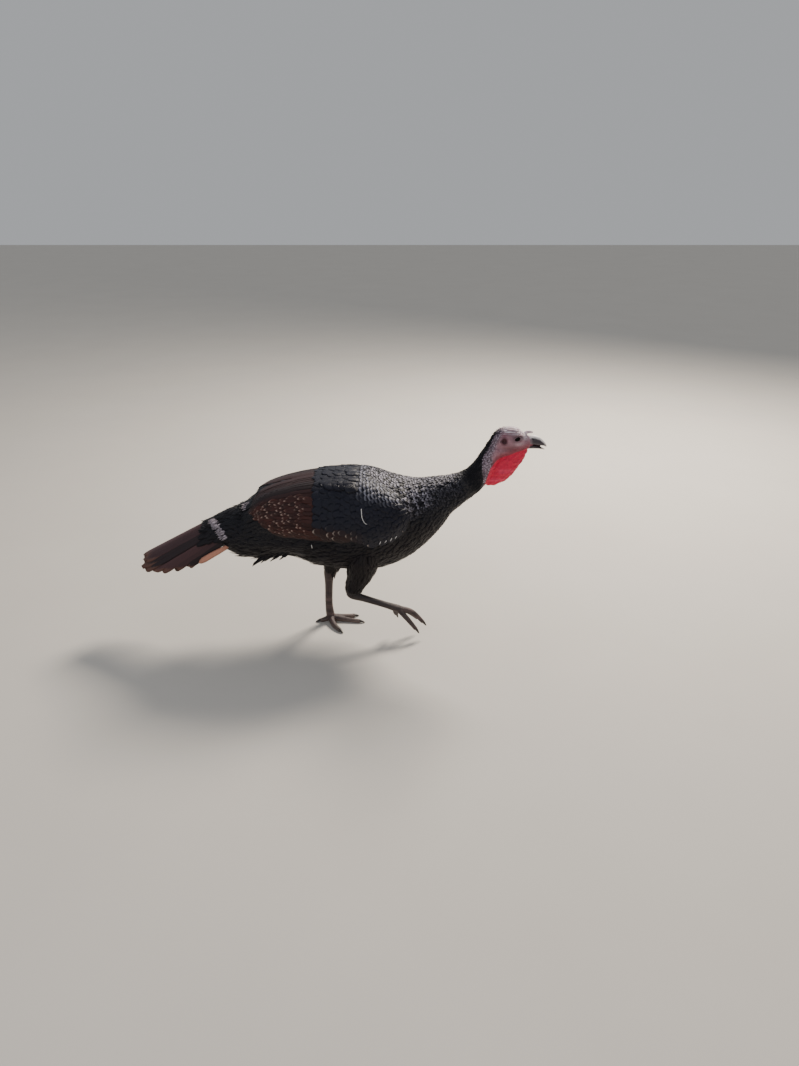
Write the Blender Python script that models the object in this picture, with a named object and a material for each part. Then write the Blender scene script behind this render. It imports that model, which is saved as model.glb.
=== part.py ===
"""Domestic turkey hen, black with brown wings, life size, caught in mid step: she stands on her left foot, the
right foot swings forward just above the floor, the neck reaches forward and the tail trails folded.

Metres, +Z up, +X from tail to head, +Y towards the bird's left. The origin is on the floor under the left foot.
Every piece is a separate closed solid. Neighbours are trimmed to meet with a gap of TRIM_GAP.
"""

import math

import bmesh
import bpy
import numpy as np
from mathutils import Vector

# Driving dimensions.
MIDLINE_Y = -0.027  # the bird's plane of symmetry, beside the foot that carries her
TRIM_GAP = 0.0003
ROUND = 24  # points around a body section
STEPS = 2.1  # body sections for each landmark
RIGHT, LEFT = -1, 1
SIDES = {"right": RIGHT, "left": LEFT}

# Landmarks down the bird from the tail coverts to the nape, each a section square to the spine:
# place along the bird, height of the centre, half width, half height.
SPINE = {
    "coverts_tip": (-0.262, 0.250, 0.036, 0.012),
    "coverts": (-0.225, 0.250, 0.044, 0.038),
    "rump_end": (-0.185, 0.248, 0.056, 0.060),
    "rump": (-0.140, 0.258, 0.073, 0.078),
    "loin": (-0.090, 0.268, 0.085, 0.090),
    "back": (-0.020, 0.273, 0.093, 0.101),
    "belly": (0.045, 0.271, 0.096, 0.110),
    "breast": (0.105, 0.274, 0.092, 0.112),
    "breast_front": (0.158, 0.285, 0.081, 0.098),
    "shoulder": (0.208, 0.304, 0.062, 0.072),
    "neck_root": (0.248, 0.326, 0.046, 0.048),
    "neck_low": (0.286, 0.344, 0.035, 0.034),
    "neck_mid": (0.319, 0.363, 0.028, 0.0275),
    "neck_bend": (0.341, 0.389, 0.0240, 0.0240),
    "neck_high": (0.356, 0.417, 0.021, 0.0215),
    "nape": (0.372, 0.445, 0.0185, 0.0190),
}
# The head from the back of the skull to the root of the bill: place, height, half width, rise and depth.
HEAD = [
    (0.3555, 0.4520, 0.0040, 0.0040, 0.0040),
    (0.3620, 0.4550, 0.0130, 0.0125, 0.0135),
    (0.3740, 0.4565, 0.0190, 0.0230, 0.0220),
    (0.3900, 0.4575, 0.0220, 0.0258, 0.0255),
    (0.4070, 0.4570, 0.0216, 0.0255, 0.0250),
    (0.4200, 0.4540, 0.0184, 0.0205, 0.0220),
    (0.4320, 0.4515, 0.0142, 0.0150, 0.0180),
    (0.4440, 0.4500, 0.0105, 0.0120, 0.0140),
]
# The two halves of the bill, measured from their cutting edges: place, height, half width, rise and depth.
BILL_UPPER = [
    (0.4380, 0.4495, 0.0108, 0.0150, 0.0020),
    (0.4480, 0.4480, 0.0094, 0.0168, 0.0020),
    (0.4590, 0.4455, 0.0072, 0.0152, 0.0018),
    (0.4680, 0.4440, 0.0046, 0.0092, 0.0016),
    (0.4745, 0.4420, 0.0013, 0.0028, 0.0010),
]
BILL_LOWER = [
    (0.4340, 0.4440, 0.0095, 0.0010, 0.0085),
    (0.4470, 0.4425, 0.0080, 0.0010, 0.0065),
    (0.4590, 0.4395, 0.0056, 0.0010, 0.0040),
    (0.4705, 0.4350, 0.0018, 0.0008, 0.0012),
]
# The dewlap from the chin to the foot of the bare neck: place, height, half width, half depth.
DEWLAP = [
    (0.4320, 0.4370, 0.0050, 0.0060),
    (0.4190, 0.4270, 0.0085, 0.0160),
    (0.3980, 0.4090, 0.0105, 0.0250),
    (0.3750, 0.3860, 0.0110, 0.0235),
    (0.3570, 0.3670, 0.0095, 0.0150),
    (0.3470, 0.3570, 0.0050, 0.0060),
]
SNOOD = [(0.4240, 0.4655, 0.0036), (0.4310, 0.4710, 0.0030), (0.4380, 0.4722, 0.0024), (0.4445, 0.4708, 0.0016)]
EYE_CENTRE, EYE_RADIUS, EYE_OFFSET = (0.4092, 0.4630), 0.0066, 0.0155
EAR_CENTRE, EAR_RADII, EAR_OFFSET = (0.3814, 0.4588), (0.0062, 0.0032, 0.0072), 0.0192

# The folded wing lies on the trunk: place in landmarks along the spine, and the angles of its upper and its lower
# edge, in degrees down from the back.
WING = [
    (2.55, 50, 62),
    (3.0, 32, 78),
    (3.6, 22, 85),
    (4.6, 17, 91),
    (5.6, 17, 96),
    (6.6, 20, 99),
    (7.5, 28, 100),
    (8.2, 42, 95),
    (8.75, 62, 78),
]
WING_PARTING = 3.55  # row at which the quills pass under the coverts
WING_THICK, WING_EDGE, WING_ROOT = 0.0150, 0.0014, 0.006

# The tail trails folded, arched like a gutter turned over, and slopes down to the rear. Reach is the length of its
# feathers from the middle one out to the side.
TAIL_ROOT, TAIL_SLOPE_DEG = (-0.185, 0.310), 28.3
TAIL_REACH = [0.258, 0.257, 0.253, 0.205, 0.128]
TAIL_HALF_WIDTH, TAIL_ARCH, TAIL_ARCH_DEG = (0.042, 0.060), (0.082, 0.100), 82.0
TAIL_THICK, TAIL_EDGE, TAIL_FEATHERS, TAIL_NOTCH = 0.0060, 0.0016, 9, 0.007

# Legs, from the body down: each point is x, y, height and radius.
SHIN = {
    "left": [(0.030, -0.006, 0.215, 0.040), (0.018, -0.003, 0.172, 0.028), (0.005, 0.0, 0.145, 0.018),
             (-0.002, 0.0, 0.126, 0.0125)],
    "right": [(0.082, -0.074, 0.205, 0.046), (0.072, -0.078, 0.158, 0.029), (0.060, -0.079, 0.133, 0.0195),
              (0.056, -0.080, 0.116, 0.0165)],
}
SHANK = {
    "left": [(-0.002, 0.0, 0.133, 0.0100), (-0.003, 0.0, 0.121, 0.0102), (-0.003, 0.0, 0.095, 0.0079),
             (-0.003, 0.0, 0.045, 0.0076), (-0.001, 0.0, 0.014, 0.0092)],
    "right": [(0.050, -0.080, 0.120, 0.0098), (0.058, -0.080, 0.111, 0.0100), (0.082, -0.079, 0.1015, 0.0077),
              (0.130, -0.077, 0.084, 0.0072), (0.157, -0.076, 0.074, 0.0086)],
}
# Foot pads: centre and half sizes.
PAD = {"left": ((0.001, 0.0, 0.0090), (0.0135, 0.0120, 0.0110)),
       "right": ((0.1585, -0.076, 0.0725), (0.0120, 0.0115, 0.0105))}
TOE_RADIUS = (0.0068, 0.0046)
TOE_REST = 0.0050  # height of a toe's middle where it lies on the floor, less than its radius, so it bears on a flat
# Standing toes: direction in degrees from straight ahead, positive to the bird's left, and length without claw.
STANDING_TOES = {"inner": (-64.0, 0.054), "middle": (-10.0, 0.070), "outer": (16.0, 0.056), "hind": (196.0, 0.027)}
# Swinging toes: the points that each passes, from the pad.
SWINGING_TOES = {
    "outer": [(0.159, -0.077, 0.072), (0.177, -0.085, 0.055), (0.199, -0.091, 0.0290)],
    "middle": [(0.160, -0.075, 0.074), (0.190, -0.074, 0.064), (0.215, -0.074, 0.0380)],
    "inner": [(0.160, -0.073, 0.072), (0.183, -0.061, 0.057), (0.203, -0.053, 0.0360)],
    "hind": [(0.156, -0.073, 0.072), (0.152, -0.067, 0.061), (0.155, -0.063, 0.052)],
}
CLAW_LENGTH, CLAW_DROP, CLAW_RADIUS = 0.013, 0.0030, (0.0030, 0.0009)

MATERIALS = {  # base colour, roughness, metallic
    "black_plumage": ((0.020, 0.018, 0.022), 0.55, 0.0),
    "brown_quills": ((0.055, 0.028, 0.020), 0.60, 0.0),
    "bare_skin": ((0.420, 0.300, 0.320), 0.55, 0.0),
    "red_skin": ((0.640, 0.020, 0.040), 0.45, 0.0),
    "bill_horn": ((0.200, 0.180, 0.170), 0.40, 0.0),
    "eye": ((0.015, 0.010, 0.008), 0.08, 0.0),
    "leg_scales": ((0.085, 0.062, 0.062), 0.60, 0.0),
    "claw_horn": ((0.040, 0.034, 0.032), 0.45, 0.0),
}


def clear_scene():
    for old in list(bpy.data.objects):
        bpy.data.objects.remove(old, do_unlink=True)


def new_collection(name):
    collection = bpy.data.collections.new(name)
    bpy.context.scene.collection.children.link(collection)
    return collection


def make_materials():
    made = {}
    for name, (colour, roughness, metallic) in MATERIALS.items():
        material = bpy.data.materials.new(name)
        material.use_nodes = True
        shader = material.node_tree.nodes["Principled BSDF"]
        shader.inputs["Base Color"].default_value = (*colour, 1.0)
        shader.inputs["Roughness"].default_value = roughness
        shader.inputs["Metallic"].default_value = metallic
        made[name] = material
    return made


def smooth(rows, at):
    """Catmull-Rom curve through the rows, read at places counted in rows."""
    rows = np.asarray(rows, float)
    at = np.clip(np.asarray(at, float), 0, len(rows) - 1)
    i = np.minimum(at.astype(int), len(rows) - 2)
    t = (at - i)[:, None]
    before, a, b, after = (rows[np.clip(i + k, 0, len(rows) - 1)] for k in (-1, 0, 1, 2))
    return a + 0.5 * t * (b - before + t * (2 * before - 5 * a + 4 * b - after + t * (3 * (a - b) + after - before)))


def sections(rows, at, columns):
    """Centres, directions along the line of centres and the size columns of the smooth curve, in the midline plane."""
    here = smooth(rows, at)
    ahead = smooth(rows, np.asarray(at) + 0.01) - smooth(rows, np.asarray(at) - 0.01)
    centre = np.stack([here[:, 0], np.full(len(here), MIDLINE_Y), here[:, 1]], 1)
    along = np.stack([ahead[:, 0], np.zeros(len(here)), ahead[:, 1]], 1)
    return centre, along / np.linalg.norm(along, axis=1)[:, None], here[:, 2 : 2 + columns]


def oval(angle, power=2.15):
    """Across and up parts of a slightly squared oval of half size 1. The angle runs from the top to the bird's right."""
    c, s = np.cos(angle), np.sin(angle)
    return np.sign(s) * np.abs(s) ** (2 / power), np.sign(c) * np.abs(c) ** (2 / power)


def spine_surface(at, angle, proud=0.0):
    """Points of the body's surface: at, in landmarks, and angle, from the back down to the bird's right, are arrays."""
    centre, along, size = sections(list(SPINE.values()), at, 2)
    up = np.stack([-along[:, 2], along[:, 1], along[:, 0]], 1)
    across, rise = oval(angle)
    right = np.array([0.0, RIGHT, 0.0])
    return centre + (across * (size[:, 0] + proud))[:, None] * right + (rise * (size[:, 1] + proud))[:, None] * up


def lofted(rings):
    """Mesh data of a closed loft through rings of equally many points, with a fan to the middle of each end."""
    rings = np.asarray(rings, float)
    count, around = rings.shape[:2]
    points = np.concatenate([rings.reshape(-1, 3), rings[0].mean(0)[None], rings[-1].mean(0)[None]])
    first, last = count * around, count * around + 1
    faces = []
    for i in range(count - 1):
        for j in range(around):
            a, b = i * around + j, i * around + (j + 1) % around
            faces += [(a, b, b + around), (a, b + around, a + around)]
    for j in range(around):
        nxt = (j + 1) % around
        faces += [(first, nxt, j), (last, (count - 1) * around + j, (count - 1) * around + nxt)]
    return points, faces


def add_mesh(name, points, faces, material, collection):
    """A new object from points and faces, with its faces turned outwards."""
    mesh = bpy.data.meshes.new(name)
    mesh.from_pydata([tuple(p) for p in points], [], faces)
    work = bmesh.new()
    work.from_mesh(mesh)
    bmesh.ops.recalc_face_normals(work, faces=work.faces)
    work.to_mesh(mesh)
    work.free()
    mesh.shade_smooth()
    mesh.materials.append(material)
    obj = bpy.data.objects.new(name, mesh)
    collection.objects.link(obj)
    return obj


def add_sphere(name, centre, radii, material, collection, across=12, down=8):
    """An ellipsoid from the sphere primitive."""
    work = bmesh.new()
    bmesh.ops.create_uvsphere(work, u_segments=across, v_segments=down, radius=1.0)
    bmesh.ops.scale(work, vec=radii, verts=work.verts)
    bmesh.ops.translate(work, vec=centre, verts=work.verts)
    mesh = bpy.data.meshes.new(name)
    work.to_mesh(mesh)
    work.free()
    mesh.shade_smooth()
    mesh.materials.append(material)
    obj = bpy.data.objects.new(name, mesh)
    collection.objects.link(obj)
    return obj


def add_tapered_rod(name, rows, material, collection, steps=3, sides=2):
    """A rod through rows of x, y, z and radius: a bevelled curve with a radius at each point, made a mesh."""
    rows = smooth(rows, np.linspace(0, len(rows) - 1, (len(rows) - 1) * steps + 1))
    curve = bpy.data.curves.new(name + "_line", "CURVE")
    curve.dimensions = "3D"
    curve.bevel_depth = 1.0
    curve.bevel_resolution = sides
    curve.use_fill_caps = True
    spline = curve.splines.new("POLY")
    spline.points.add(len(rows) - 1)
    for point, (x, y, z, radius) in zip(spline.points, rows):
        point.co = (x, y, z, 1.0)
        point.radius = radius
    line = bpy.data.objects.new(name + "_line", curve)
    collection.objects.link(line)
    bpy.context.view_layer.update()
    mesh = bpy.data.meshes.new_from_object(line.evaluated_get(bpy.context.evaluated_depsgraph_get()))
    bpy.data.objects.remove(line, do_unlink=True)
    work = bmesh.new()
    work.from_mesh(mesh)
    bmesh.ops.remove_doubles(work, verts=work.verts, dist=1e-6)
    bmesh.ops.triangulate(work, faces=work.faces)
    bmesh.ops.recalc_face_normals(work, faces=work.faces)
    work.to_mesh(mesh)
    work.free()
    mesh.shade_smooth()
    mesh.materials.clear()
    mesh.materials.append(material)
    obj = bpy.data.objects.new(name, mesh)
    collection.objects.link(obj)
    return obj


def grown_copy(obj, by, cutters):
    """A cutter: a copy of a solid, grown along its normals."""
    mesh = obj.data.copy()
    for vertex, normal in zip(mesh.vertices, [n.vector.copy() for n in obj.data.vertex_normals]):
        vertex.co += normal * by
    copy = bpy.data.objects.new(obj.name + "_cutter", mesh)
    copy.hide_render = True
    copy.display_type = "WIRE"
    cutters.objects.link(copy)
    return copy


def apply_modifiers(obj):
    bpy.context.view_layer.update()
    mesh = bpy.data.meshes.new_from_object(obj.evaluated_get(bpy.context.evaluated_depsgraph_get()))
    obj.modifiers.clear()
    obj.data = mesh


def cut(obj, cutter):
    modifier = obj.modifiers.new("trim", "BOOLEAN")
    modifier.operation = "DIFFERENCE"
    modifier.object = cutter
    apply_modifiers(obj)


def keep_largest(obj):
    """Removes crumbs that a cut leaves beside the main body."""
    work = bmesh.new()
    work.from_mesh(obj.data)
    left, groups = set(work.verts), []
    while left:
        stack, group = [left.pop()], set()
        while stack:
            vertex = stack.pop()
            group.add(vertex)
            for edge in vertex.link_edges:
                other = edge.other_vert(vertex)
                if other in left:
                    left.discard(other)
                    stack.append(other)
        groups.append(group)
    groups.sort(key=len)
    crumbs = [v for group in groups[:-1] for v in group]
    bmesh.ops.delete(work, geom=crumbs, context="VERTS")
    work.to_mesh(obj.data)
    work.free()


def trim(obj, cutters, *others):
    """Cuts each neighbour, grown by the gap, out of a solid."""
    for other in others:
        cut(obj, grown_copy(other, TRIM_GAP, cutters))
    keep_largest(obj)


def landmark(name):
    return list(SPINE).index(name)


def make_body(materials, parts):
    """Tail coverts, trunk and neck: one smooth loft down the spine, parted by thin cuts square to it."""
    ends = {
        "tail_coverts": (0, landmark("rump_end"), "black_plumage"),
        "trunk": (landmark("rump_end"), landmark("neck_root") - 0.4, "black_plumage"),
        "neck_lower": (landmark("neck_root") - 0.4, landmark("neck_mid") + 0.2, "black_plumage"),
        "neck_upper": (landmark("neck_mid") + 0.2, landmark("nape"), "bare_skin"),
    }
    angles = np.linspace(0, 2 * math.pi, ROUND, endpoint=False)
    made = {}
    for name, (start, end, material) in ends.items():
        count = max(4, round((end - start) * STEPS))
        rings = []
        for at in np.linspace(start, end, count):
            rings.append(spine_surface(np.full(ROUND, at), angles))
        _, along, _ = sections(list(SPINE.values()), [start, end], 2)
        rings[0] = rings[0] + along[0] * TRIM_GAP / 2
        rings[-1] = rings[-1] - along[1] * TRIM_GAP / 2
        made[name] = add_mesh(name, *lofted(rings), materials[material], parts)
    return made


def make_rounded(name, rows, at, materials, material, parts, around=24, square_to_line=False):
    """A loft of ovals down the midline plane. Rows hold place, height, half width, rise and depth below the centre."""
    centre, along, size = sections(rows, at, 3 if len(rows[0]) > 4 else 2)
    if not square_to_line:
        along = np.tile([1.0, 0.0, 0.0], (len(centre), 1))
    angles = np.linspace(0, 2 * math.pi, around, endpoint=False)
    across, rise = oval(angles, 2.0)
    rings = []
    for c, t, s in zip(centre, along, size):
        up = np.array([-t[2], 0.0, t[0]])
        height = np.where(rise > 0, rise * s[1], rise * s[-1])
        rings.append(c + np.outer(across * s[0], [0.0, RIGHT, 0.0]) + np.outer(height, up))
    return add_mesh(name, *lofted(rings), materials[material], parts)


def make_head(materials, parts, cutters, neck_upper, neck_lower):
    head = make_rounded("head", HEAD, np.linspace(0, len(HEAD) - 1, 12), materials, "bare_skin", parts, 16)
    upper = make_rounded("bill_upper", BILL_UPPER, np.linspace(0, 4, 9), materials, "bill_horn", parts, 12)
    lower = make_rounded("bill_lower", BILL_LOWER, np.linspace(0, 3, 7), materials, "bill_horn", parts, 12)
    snood_rows = [(x, MIDLINE_Y, z, radius) for x, z, radius in SNOOD]
    snood = add_tapered_rod("snood", snood_rows, materials["bare_skin"], parts, 2)
    for side, sign in SIDES.items():
        eye_at = (EYE_CENTRE[0], MIDLINE_Y + sign * EYE_OFFSET, EYE_CENTRE[1])
        eye = add_sphere(f"eye_{side}", eye_at, (EYE_RADIUS,) * 3, materials["eye"], parts)
        ear_at = (EAR_CENTRE[0], MIDLINE_Y + sign * EAR_OFFSET, EAR_CENTRE[1])
        ear = add_sphere(f"ear_{side}", ear_at, EAR_RADII, materials["black_plumage"], parts, 10, 6)
        trim(head, cutters, eye, ear)
    trim(upper, cutters, head)
    trim(lower, cutters, head, upper)
    trim(snood, cutters, head, upper)
    trim(neck_upper, cutters, head)
    rows = [row + (row[3],) for row in DEWLAP]
    dewlap = make_rounded(
        "dewlap", rows, np.linspace(0, len(rows) - 1, 9), materials, "red_skin", parts, 14, square_to_line=True
    )
    trim(dewlap, cutters, head, neck_upper, neck_lower, lower)


def make_wing(side, sign, materials, parts, cutters, trunk):
    """A folded wing as a shell on the trunk, parted into the coverts ahead and the quills behind."""
    last = len(WING) - 1
    pieces = {
        "wing_quills": (0, WING_PARTING, "brown_quills"),
        "wing_coverts": (WING_PARTING, last, "black_plumage"),
    }
    across = np.linspace(-1, 1, 11)
    for name, (start, end, material) in pieces.items():
        rings = []
        for row in np.linspace(start, end, 8):
            at, upper, lower = smooth(WING, [row])[0]
            angle = np.radians((upper + lower) / 2 + across * (lower - upper) / 2)
            fullness = (1 - min(abs(2 * row / last - 1), 0.98) ** 3.0) ** 0.5
            thick = WING_EDGE + WING_THICK * fullness * np.sqrt(1 - across**4) * (0.65 + 0.35 * row / last)
            outer = spine_surface(np.full(len(across), at), angle, thick)
            inner = spine_surface(np.full(len(across), at), angle[::-1], -WING_ROOT)
            ring = np.concatenate([outer, inner])
            if sign == LEFT:
                ring[:, 1] = 2 * MIDLINE_Y - ring[:, 1]
            rings.append(ring)
        if start:
            rings[0] = rings[0] + [TRIM_GAP, 0, 0]
        wing = add_mesh(f"{name}_{side}", *lofted(rings), materials[material], parts)
        trim(wing, cutters, trunk)


def tail_point(down, side):
    """Point of the tail's upper face: down, in metres from its root, and side, from -1 at right to 1 at left."""
    share = np.clip(down / TAIL_REACH[0], 0, 1)
    width = TAIL_HALF_WIDTH[0] + (TAIL_HALF_WIDTH[1] - TAIL_HALF_WIDTH[0]) * share
    arch = TAIL_ARCH[0] + (TAIL_ARCH[1] - TAIL_ARCH[0]) * share
    turn = np.radians(TAIL_ARCH_DEG) * side
    slope = math.radians(TAIL_SLOPE_DEG)
    drop = arch * (1 - np.cos(turn))
    x = TAIL_ROOT[0] - down * math.cos(slope)
    z = TAIL_ROOT[1] - down * math.sin(slope) - drop
    return np.stack([x, MIDLINE_Y + width * np.sin(turn), z], -1)


def make_tail(materials, parts, cutters, coverts, trunk):
    """The folded fan as one arched plate. Its rear edge is notched between the tips of the nine feathers that show."""
    side = np.linspace(-1, 1, TAIL_FEATHERS * 4 + 1)
    notch = TAIL_NOTCH * (1 - np.abs(np.sin(side * TAIL_FEATHERS * math.pi / 2 + math.pi / 2)) ** 0.7)
    reach = smooth(np.array(TAIL_REACH)[:, None], np.abs(side) * (len(TAIL_REACH) - 1))[:, 0] - notch
    rings = []
    for share in (0.0, 0.4, 0.8, 1.0):
        upper = tail_point(reach * share, side)
        thick = TAIL_EDGE + (TAIL_THICK - TAIL_EDGE) * (1 - share)
        inward = np.stack([np.zeros(len(side)), -np.sin(np.radians(TAIL_ARCH_DEG) * side),
                           -np.cos(np.radians(TAIL_ARCH_DEG) * side)], 1)
        rings.append(np.concatenate([upper, (upper + inward * thick)[::-1]]))
    tail = add_mesh("tail", *lofted_plate(rings), materials["black_plumage"], parts)
    trim(tail, cutters, coverts, trunk)
    return tail


def lofted_plate(rings):
    """A loft whose ends are strips between the upper and the lower half of each ring, for a plate that is bent."""
    rings = np.asarray(rings, float)
    count, around = rings.shape[:2]
    faces = []
    for i in range(count - 1):
        for j in range(around):
            a, b = i * around + j, i * around + (j + 1) % around
            faces += [(a, b, b + around), (a, b + around, a + around)]
    for base, turned in ((0, True), ((count - 1) * around, False)):
        for j in range(around // 2 - 1):
            quad = (base + j, base + j + 1, base + around - 2 - j, base + around - 1 - j)
            quad = quad[::-1] if turned else quad
            faces += [(quad[0], quad[1], quad[2]), (quad[0], quad[2], quad[3])]
    return rings.reshape(-1, 3), faces


def standing_toe(direction_deg, length):
    """Points of a toe that lies on the floor: it comes down from the pad and runs flat to its claw."""
    turn = math.radians(direction_deg)
    rows = []
    for share, lift, radius in ((0.0, 0.0050, 0.0), (0.30, 0.0022, 0.15), (0.65, 0.0004, 0.6), (1.0, -0.0004, 1.0)):
        size = TOE_RADIUS[0] + (TOE_RADIUS[1] - TOE_RADIUS[0]) * radius
        lean = (TOE_RADIUS[0] - size) * 0.75
        rows.append((length * share * math.cos(turn), length * share * math.sin(turn), TOE_REST + lift - lean, size))
    return rows


def claw_rows(rows):
    """Points of a claw that goes on from a toe's last two points and bends down."""
    tip, before = np.array(rows[-1][:3]), np.array(rows[-2][:3])
    along = (tip - before) / np.linalg.norm(tip - before)
    start = tip - along * 0.002
    made = []
    for share in (0.0, 0.5, 1.0):
        point = start + along * CLAW_LENGTH * share + np.array([0, 0, 0.0012 - CLAW_DROP * share**2])
        radius = CLAW_RADIUS[0] + (CLAW_RADIUS[1] - CLAW_RADIUS[0]) * share
        made.append((*point, radius))
    return made


def make_floor_cutter(cutters):
    """A block whose top is the floor, which gives the standing foot its flats."""
    work = bmesh.new()
    bmesh.ops.create_cube(work, size=1.0)
    bmesh.ops.scale(work, vec=(0.6, 0.6, 0.1), verts=work.verts)
    bmesh.ops.translate(work, vec=(0.0, 0.0, -0.05), verts=work.verts)
    mesh = bpy.data.meshes.new("floor_cutter")
    work.to_mesh(mesh)
    work.free()
    floor = bpy.data.objects.new("floor_cutter", mesh)
    floor.hide_render = True
    floor.display_type = "WIRE"
    cutters.objects.link(floor)
    return floor


def make_leg(side, materials, parts, cutters, trunk, floor):
    """Feathered shin, bare shank, pad, four toes and their claws."""
    scales, horn = materials["leg_scales"], materials["claw_horn"]
    pad = add_sphere(f"foot_pad_{side}", *PAD[side], scales, parts, 12, 8)
    shank = add_tapered_rod(f"shank_{side}", SHANK[side], scales, parts, 2, 3)
    trim(shank, cutters, pad)
    shin = add_tapered_rod(f"shin_{side}", SHIN[side], materials["black_plumage"], parts, 3, 4)
    trim(shin, cutters, trunk, shank)
    made = [pad]
    toes, claws = {}, {}
    for toe in ("middle", "inner", "outer", "hind"):
        if side == "left":
            rows = standing_toe(*STANDING_TOES[toe])
        else:
            sizes = np.linspace(TOE_RADIUS[0], TOE_RADIUS[1], len(SWINGING_TOES[toe])) * 0.92
            rows = [(*point, size) for point, size in zip(SWINGING_TOES[toe], sizes)]
        toes[toe] = add_tapered_rod(f"toe_{toe}_{side}", rows, scales, parts, 2, 2)
        claws[toe] = add_tapered_rod(f"claw_{toe}_{side}", claw_rows(rows), horn, parts, 2, 1)
    if side == "left":
        for piece in (pad, *toes.values(), *claws.values()):
            cut(piece, floor)
    for toe, piece in toes.items():
        trim(piece, cutters, *made, shank)
        made.append(piece)
        trim(claws[toe], cutters, piece)


def main():
    clear_scene()
    parts = new_collection("turkey_hen")
    cutters = new_collection("cutters")
    materials = make_materials()
    body = make_body(materials, parts)
    make_head(materials, parts, cutters, body["neck_upper"], body["neck_lower"])
    for side, sign in SIDES.items():
        make_wing(side, sign, materials, parts, cutters, body["trunk"])
    make_tail(materials, parts, cutters, body["tail_coverts"], body["trunk"])
    floor = make_floor_cutter(cutters)
    for side in SIDES:
        make_leg(side, materials, parts, cutters, body["trunk"], floor)


main()
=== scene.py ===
"""A black turkey hen in mid step, as a life-size museum model: bare head and legs of one skin, and a coat of
solid vanes that lies over it. Metres, +X towards the bill, +Y towards the bird's left, +Z up.
"""

import math

import bpy
import mathutils
import numpy as np
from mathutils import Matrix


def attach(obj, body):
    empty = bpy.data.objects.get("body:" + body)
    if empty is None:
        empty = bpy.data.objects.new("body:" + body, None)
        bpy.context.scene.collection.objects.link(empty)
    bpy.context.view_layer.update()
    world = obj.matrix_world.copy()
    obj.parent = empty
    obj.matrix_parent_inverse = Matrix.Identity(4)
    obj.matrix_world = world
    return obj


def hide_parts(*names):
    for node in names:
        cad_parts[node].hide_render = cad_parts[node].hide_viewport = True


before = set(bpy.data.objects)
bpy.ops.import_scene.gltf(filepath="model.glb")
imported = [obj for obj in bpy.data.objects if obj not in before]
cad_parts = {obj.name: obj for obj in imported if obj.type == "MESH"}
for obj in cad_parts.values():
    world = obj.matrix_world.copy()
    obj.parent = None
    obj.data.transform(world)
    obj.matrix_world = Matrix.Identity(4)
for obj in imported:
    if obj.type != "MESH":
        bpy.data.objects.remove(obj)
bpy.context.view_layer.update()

# ------------------------------------------------------------------------------------------------------------
# Camera. A hand-held camera at chest height, a stride and a half from the bird and looking down at it.
CAMERA_PLACE = (0.1618, -1.6628, 0.960)
LOOKING_DOWN_DEG = 23.8
LENS_MM, SENSOR_MM = 27.05, 36.0

camera_data = bpy.data.cameras.new("camera")
camera_data.lens = LENS_MM
camera_data.sensor_width = SENSOR_MM
camera = bpy.data.objects.new("camera", camera_data)
camera.location = CAMERA_PLACE
camera.rotation_euler = (math.radians(90 - LOOKING_DOWN_DEG), 0.0, 0.0)
bpy.context.scene.collection.objects.link(camera)
bpy.context.scene.camera = camera


# ------------------------------------------------------------------------------------------------------------
# Floor and light. A plain pale floor with a faint trowelled unevenness, one broad lamp above and behind the
# bird that brings out the gloss of its back, one that fills from the front, and a pale room all round.
FLOOR_HALF_SIZE = 12.0
FLOOR_COLOUR, FLOOR_MOTTLE, ROOM_COLOUR = "#cfcac2", "#a8a29a", "#e9ecf0"
LAMPS = {  # place, aim, width, power in watts, colour
    "lamp_above": ((1.35, 1.65, 2.15), (0.03, 0.0, 0.25), 0.8, 150.0, "#fff4e6"),
    "lamp_front": ((-0.6, -2.6, 1.7), (0.03, 0.0, 0.25), 2.2, 16.0, "#eef2ff"),
}
ROOM_STRENGTH = 0.50


def linear(colour):
    """Linear red, green, blue and alpha of an sRGB hex colour."""
    channels = [int(colour[i : i + 2], 16) / 255 for i in (1, 3, 5)]
    return [c / 12.92 if c <= 0.04045 else ((c + 0.055) / 1.055) ** 2.4 for c in channels] + [1.0]


def add_node(tree, kind, settings=None, **links):
    """A new node with its properties set. Each keyword is an input: a value to set or an output to link from.
    Inputs that share a name or have spaces are given by number as in_0, or with _ for each space."""
    node = tree.nodes.new("ShaderNode" + kind)
    for key, value in (settings or {}).items():
        setattr(node, key, value)
    for key, value in links.items():
        slot = node.inputs[int(key[3:])] if key.startswith("in_") else node.inputs[key.replace("_", " ")]
        if isinstance(value, bpy.types.NodeSocket):
            tree.links.new(value, slot)
        else:
            slot.default_value = value
    return node


def new_material(name, **sockets):
    """A material with a bare Principled shader, whose sockets are set by name with _ for each space: the
    tree, the shader and the material."""
    material = bpy.data.materials.new(name)
    material.use_nodes = True
    shader = material.node_tree.nodes["Principled BSDF"]
    for socket, value in sockets.items():
        shader.inputs[socket.replace("_", " ")].default_value = value
    return material.node_tree, shader, material


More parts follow.
